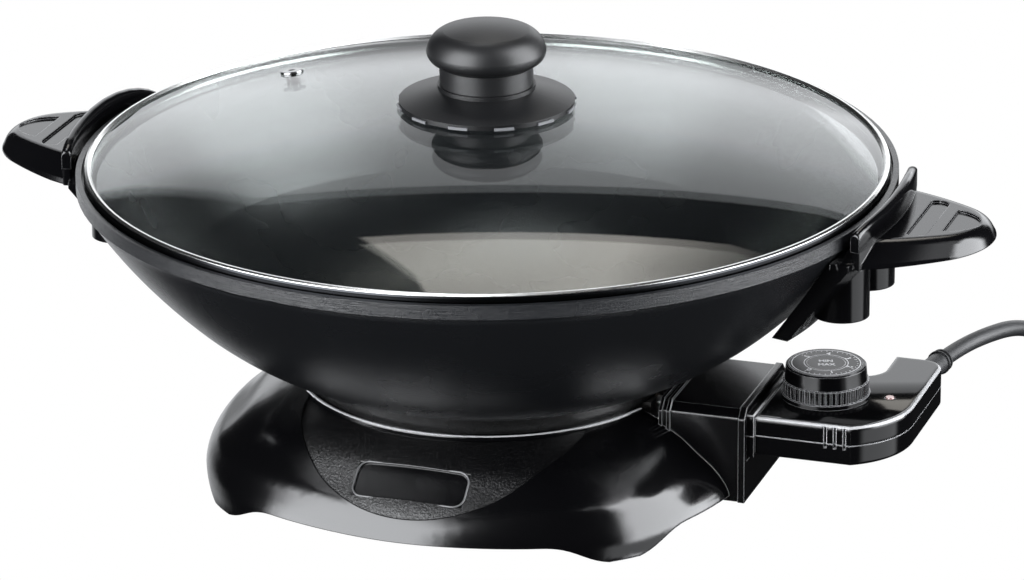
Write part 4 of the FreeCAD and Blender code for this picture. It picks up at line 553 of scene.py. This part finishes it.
# ---------------------------------------------------------------- cord

CORD_DIAMETER = 0.0076
CORD_START = [
    (0.1914, 0.0855, 0.0392),
    (0.1943, 0.0995, 0.0394),
    (0.2020, 0.1205, 0.0393),
    (0.2109, 0.1455, 0.0360),
    (0.2183, 0.1675, 0.0260),
    (0.2219, 0.1830, 0.0115),
    (0.2230, 0.2030, 0.0041),
    (0.2230, 0.2220, 0.0040),
]
CORD_END = [
    (0.3128, 0.2160, 0.0120),
    (0.3128, 0.1960, 0.0146),
    (0.3128, 0.1700, 0.0182),
]
COIL_CENTRE = (0.2698, 0.2160)
COIL_TURNS = 3.5
COIL_LAYERS = [(0.0468, 0.0040), (0.0391, 0.0040), (0.0391, 0.0116), (0.0468, 0.0118)]


def thick_line(name, points, diameter, material):
    """Smooth round cord through control points."""
    curve = bpy.data.curves.new(name, "CURVE")
    curve.dimensions = "3D"
    curve.bevel_depth = diameter / 2
    curve.bevel_resolution = 6
    curve.resolution_u = 10
    curve.use_fill_caps = True
    spline = curve.splines.new("NURBS")
    spline.points.add(len(points) - 1)
    for point, place in zip(spline.points, points):
        point.co = (*place, 1)
    spline.order_u = 3
    spline.use_endpoint_u = True
    curve.materials.append(material)
    line = bpy.data.objects.new(name, curve)
    scene.collection.objects.link(line)
    return line


def coil_points(points_per_turn=14, settled=0.55):
    """Turns of the put-away cord, wound flat in two layers of two. Each turn keeps its
    radius and height for the settled share of it, and then eases over to the next."""
    last = len(COIL_LAYERS) - 1
    points = []
    for count in range(1, int(points_per_turn * COIL_TURNS) + 1):
        turn = count / points_per_turn
        index = min(int(turn), last)
        blend = max(0.0, (turn - index - settled) / (1 - settled))
        ease = blend * blend * (3 - 2 * blend)
        here, following = COIL_LAYERS[index], COIL_LAYERS[min(index + 1, last)]
        radius, height = (a + (b - a) * ease for a, b in zip(here, following))
        angle = math.pi - turn * 2 * math.pi
        points.append((COIL_CENTRE[0] + radius * math.cos(angle),
                       COIL_CENTRE[1] + radius * math.sin(angle), height))
    return points


def make_cord():
    route = CORD_START + coil_points() + CORD_END
    cord = thick_line("mains_cord", route, CORD_DIAMETER, cord_skin)
    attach(cord, "controller")
    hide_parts("cord_tube", "cord_coil", "cord_tail")


# ---------------------------------------------------------------- trim

def new_piece(name, verts, faces, material, body, slot, smooth=False):
    """Piece of trim that rides on a body. If smooth, its four-sided faces are shaded so."""
    mesh = bpy.data.meshes.new(name)
    mesh.from_pydata(verts, [], faces)
    if smooth:
        mesh.polygons.foreach_set("use_smooth", [len(face) == 4 for face in faces])
    mesh.materials.append(material)
    piece = bpy.data.objects.new(name, mesh)
    scene.collection.objects.link(piece)
    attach(piece, body)


def rounded_outline(length, height, corner, steps=8):
    """Points round a rectangle with round corners, about the origin."""
    points = []
    for quarter, (sx, sy) in enumerate(((1, 1), (-1, 1), (-1, -1), (1, -1))):
        for step in range(steps + 1):
            angle = math.pi / 2 * (quarter + step / steps)
            points.append((sx * (length / 2 - corner) + corner * math.cos(angle),
                           sy * (height / 2 - corner) + corner * math.sin(angle)))
    return points


def tube(points, radius, sides=8):
    """Corners and faces of a closed round tube along a loop of points."""
    count = len(points)
    verts = []
    faces = []
    for index, place in enumerate(points):
        ahead = (points[(index + 1) % count] - points[index - 1]).normalized()
        side = ahead.cross(Vector((0, 0, 1))).normalized()
        up = side.cross(ahead)
        for turn in range(sides):
            angle = turn * 2 * math.pi / sides
            verts.append(place + radius * (math.cos(angle) * side + math.sin(angle) * up))
            after = (turn + 1) % sides
            below = (index + 1) % count
            faces.append((index * sides + turn, index * sides + after,
                          below * sides + after, below * sides + turn))
    return verts, faces


def label_edge():
    """Thin raised edge round the bare label place, laid on the base's front, in a lighter tone
    that is a painted highlight.
    """
    tree = BVHTree.FromObject(nodes["base_shell"], bpy.context.evaluated_depsgraph_get())
    upward = Vector((0, math.cos(LABEL_SLOPE), math.sin(LABEL_SLOPE)))
    outward = Vector((0, -math.sin(LABEL_SLOPE), math.cos(LABEL_SLOPE)))
    points = []
    for x, v in rounded_outline(LABEL_LENGTH + 0.0006, LABEL_HEIGHT + 0.0005, 0.0052):
        start = LABEL_CENTRE + Vector((x, 0, 0)) + v * upward + 0.02 * outward
        points.append(tree.ray_cast(start, -outward)[0])
    new_piece("label_edge", *tube(points, 0.00045), label_highlight_gloss, "cooker", "base_plastic",
              smooth=True)


# Bearing in degrees and height of the hand guard's crest, from its near to its far end.
CREST_PROFILE = [
    (-14.9, 0.1452), (-14.7, 0.1460), (-14.2, 0.1468), (-13.2, 0.1476), (-11.5, 0.1485),
    (-8.0, 0.1494), (-4.0, 0.1501), (0.0, 0.1507), (4.0, 0.1509), (7.5, 0.1503),
    (10.5, 0.1489), (13.0, 0.1469), (15.0, 0.1445), (16.4, 0.1421), (17.1, 0.1400),
]


def along_profile(profile, share):
    """The point that is a share of the way along a row of points."""
    place = share * (len(profile) - 1)
    index = min(int(place), len(profile) - 2)
    rest = place - index
    return [a + (b - a) * rest for a, b in zip(profile[index], profile[index + 1])]


def guard_crest(name, side, steps=64, bands=8, crown=0.0016):
    """Rounded crest on a hand guard, which stands a little over the lid's edge."""
    middle, half = (GUARD_INNER + GUARD_OUTER) / 2, (GUARD_OUTER - GUARD_INNER) / 2
    verts = []
    faces = []
    for step in range(steps + 1):
        bearing, crest = along_profile(CREST_PROFILE, step / steps)
        angle = math.radians(bearing)
        turns = [math.pi * band / bands for band in range(bands + 1)]
        section = [(GUARD_OUTER, GUARD_LOW)]
        section += [(middle + half * math.cos(turn), crest - crown + crown * math.sin(turn))
                    for turn in turns]
        section.append((GUARD_INNER, GUARD_LOW))
        verts += [(side * reach * math.cos(angle), reach * math.sin(angle), height)
                  for reach, height in section]
    ring = len(section)
    for step in range(steps):
        for place in range(ring):
            after = (place + 1) % ring
            faces.append((step * ring + place, step * ring + after,
                          (step + 1) * ring + after, (step + 1) * ring + place))
    last = steps * ring
    faces += [tuple(range(ring))[::-1], tuple(range(last, last + ring))]
    if side < 0:
        faces = [face[::-1] for face in faces]
    new_piece(name, verts, faces, handle_gloss, "cooker", "handle_plastic", smooth=True)


def flat_ring(verts, faces, inner, outer, height, steps=72):
    """Flat ring about the origin."""
    first = len(verts)
    for step in range(steps):
        angle = step * 2 * math.pi / steps
        for reach in (inner, outer):
            verts.append((reach * math.cos(angle), reach * math.sin(angle), height))
    for step in range(steps):
        here = first + step * 2
        after = first + (step + 1) % steps * 2
        faces.append((here, here + 1, after + 1, after))


def tick_mark(verts, faces, inner, outer, half_width, angle, height):
    """Flat bar that points away from the origin."""
    along = Vector((math.cos(angle), math.sin(angle), 0))
    across = Vector((-along.y, along.x, 0)) * half_width
    first = len(verts)
    for reach, sign in ((inner, 1), (outer, 1), (outer, -1), (inner, -1)):
        verts.append(tuple(along * reach + across * sign + Vector((0, 0, height))))
    faces.append((first + 3, first + 2, first + 1, first))


def add_word(verts, faces, word, size, place, turn, height):
    """Flat letters of one word, centred on a place and turned about it."""
    curve = bpy.data.curves.new("word", "FONT")
    curve.body = word
    curve.size = size
    curve.offset = size * 0.035
    curve.align_x = "CENTER"
    curve.align_y = "CENTER"
    holder = bpy.data.objects.new("word", curve)
    scene.collection.objects.link(holder)
    bpy.context.view_layer.update()
    mesh = bpy.data.meshes.new_from_object(
        holder.evaluated_get(bpy.context.evaluated_depsgraph_get()))
    spot = Matrix.Translation((*place, height)) @ Matrix.Rotation(turn, 4, "Z")
    first = len(verts)
    verts.extend(tuple(spot @ vertex.co) for vertex in mesh.vertices)
    faces.extend(tuple(first + index for index in face.vertices) for face in mesh.polygons)
    bpy.data.objects.remove(holder)
    bpy.data.curves.remove(curve)
    bpy.data.meshes.remove(mesh)


def dial_print():
    """Silver rings, ticks, plain numbers and the words of the dial's face."""
    face = nodes["dial_face"]
    clearance = 0.00004
    top = max((face.matrix_world @ vertex.co).z for vertex in face.data.vertices) + clearance
    first_mark = -135
    verts = []
    faces = []
    for inner, outer in ((0.0152, 0.0157), (0.0097, 0.0101), (0.0086, 0.0088)):
        flat_ring(verts, faces, inner, outer, top)
    for tick in range(28):
        angle = math.radians(first_mark + tick * 10)
        tick_mark(verts, faces, 0.0138 if tick % 5 else 0.0133, 0.0146, 0.0002, angle, top)
    for count, digit in enumerate("012345"):
        angle = math.radians(first_mark + count * 54)
        place = (0.0113 * math.cos(angle), 0.0113 * math.sin(angle))
        add_word(verts, faces, digit, 0.0038, place, angle - math.pi / 2, top)
    for word, up in (("MIN", 0.0022), ("MAX", -0.0022)):
        add_word(verts, faces, word, 0.0036, (0, up), 0, top)
    spot = Matrix.Translation((*DIAL_AXIS, 0)) @ Matrix.Rotation(math.radians(19), 4, "Z")
    new_piece("dial_print", [spot @ Vector(place) for place in verts], faces, silver_print,
              "dial", "dial_face")


# ---------------------------------------------------------------- the scene

make_camera()
white_floor()
studio_world()
make_cord()
label_edge()
guard_crest("right_guard_crest", 1)
guard_crest("left_guard_crest", -1)
dial_print()

scene.view_settings.view_transform = "Standard"
scene.view_settings.look = "None"
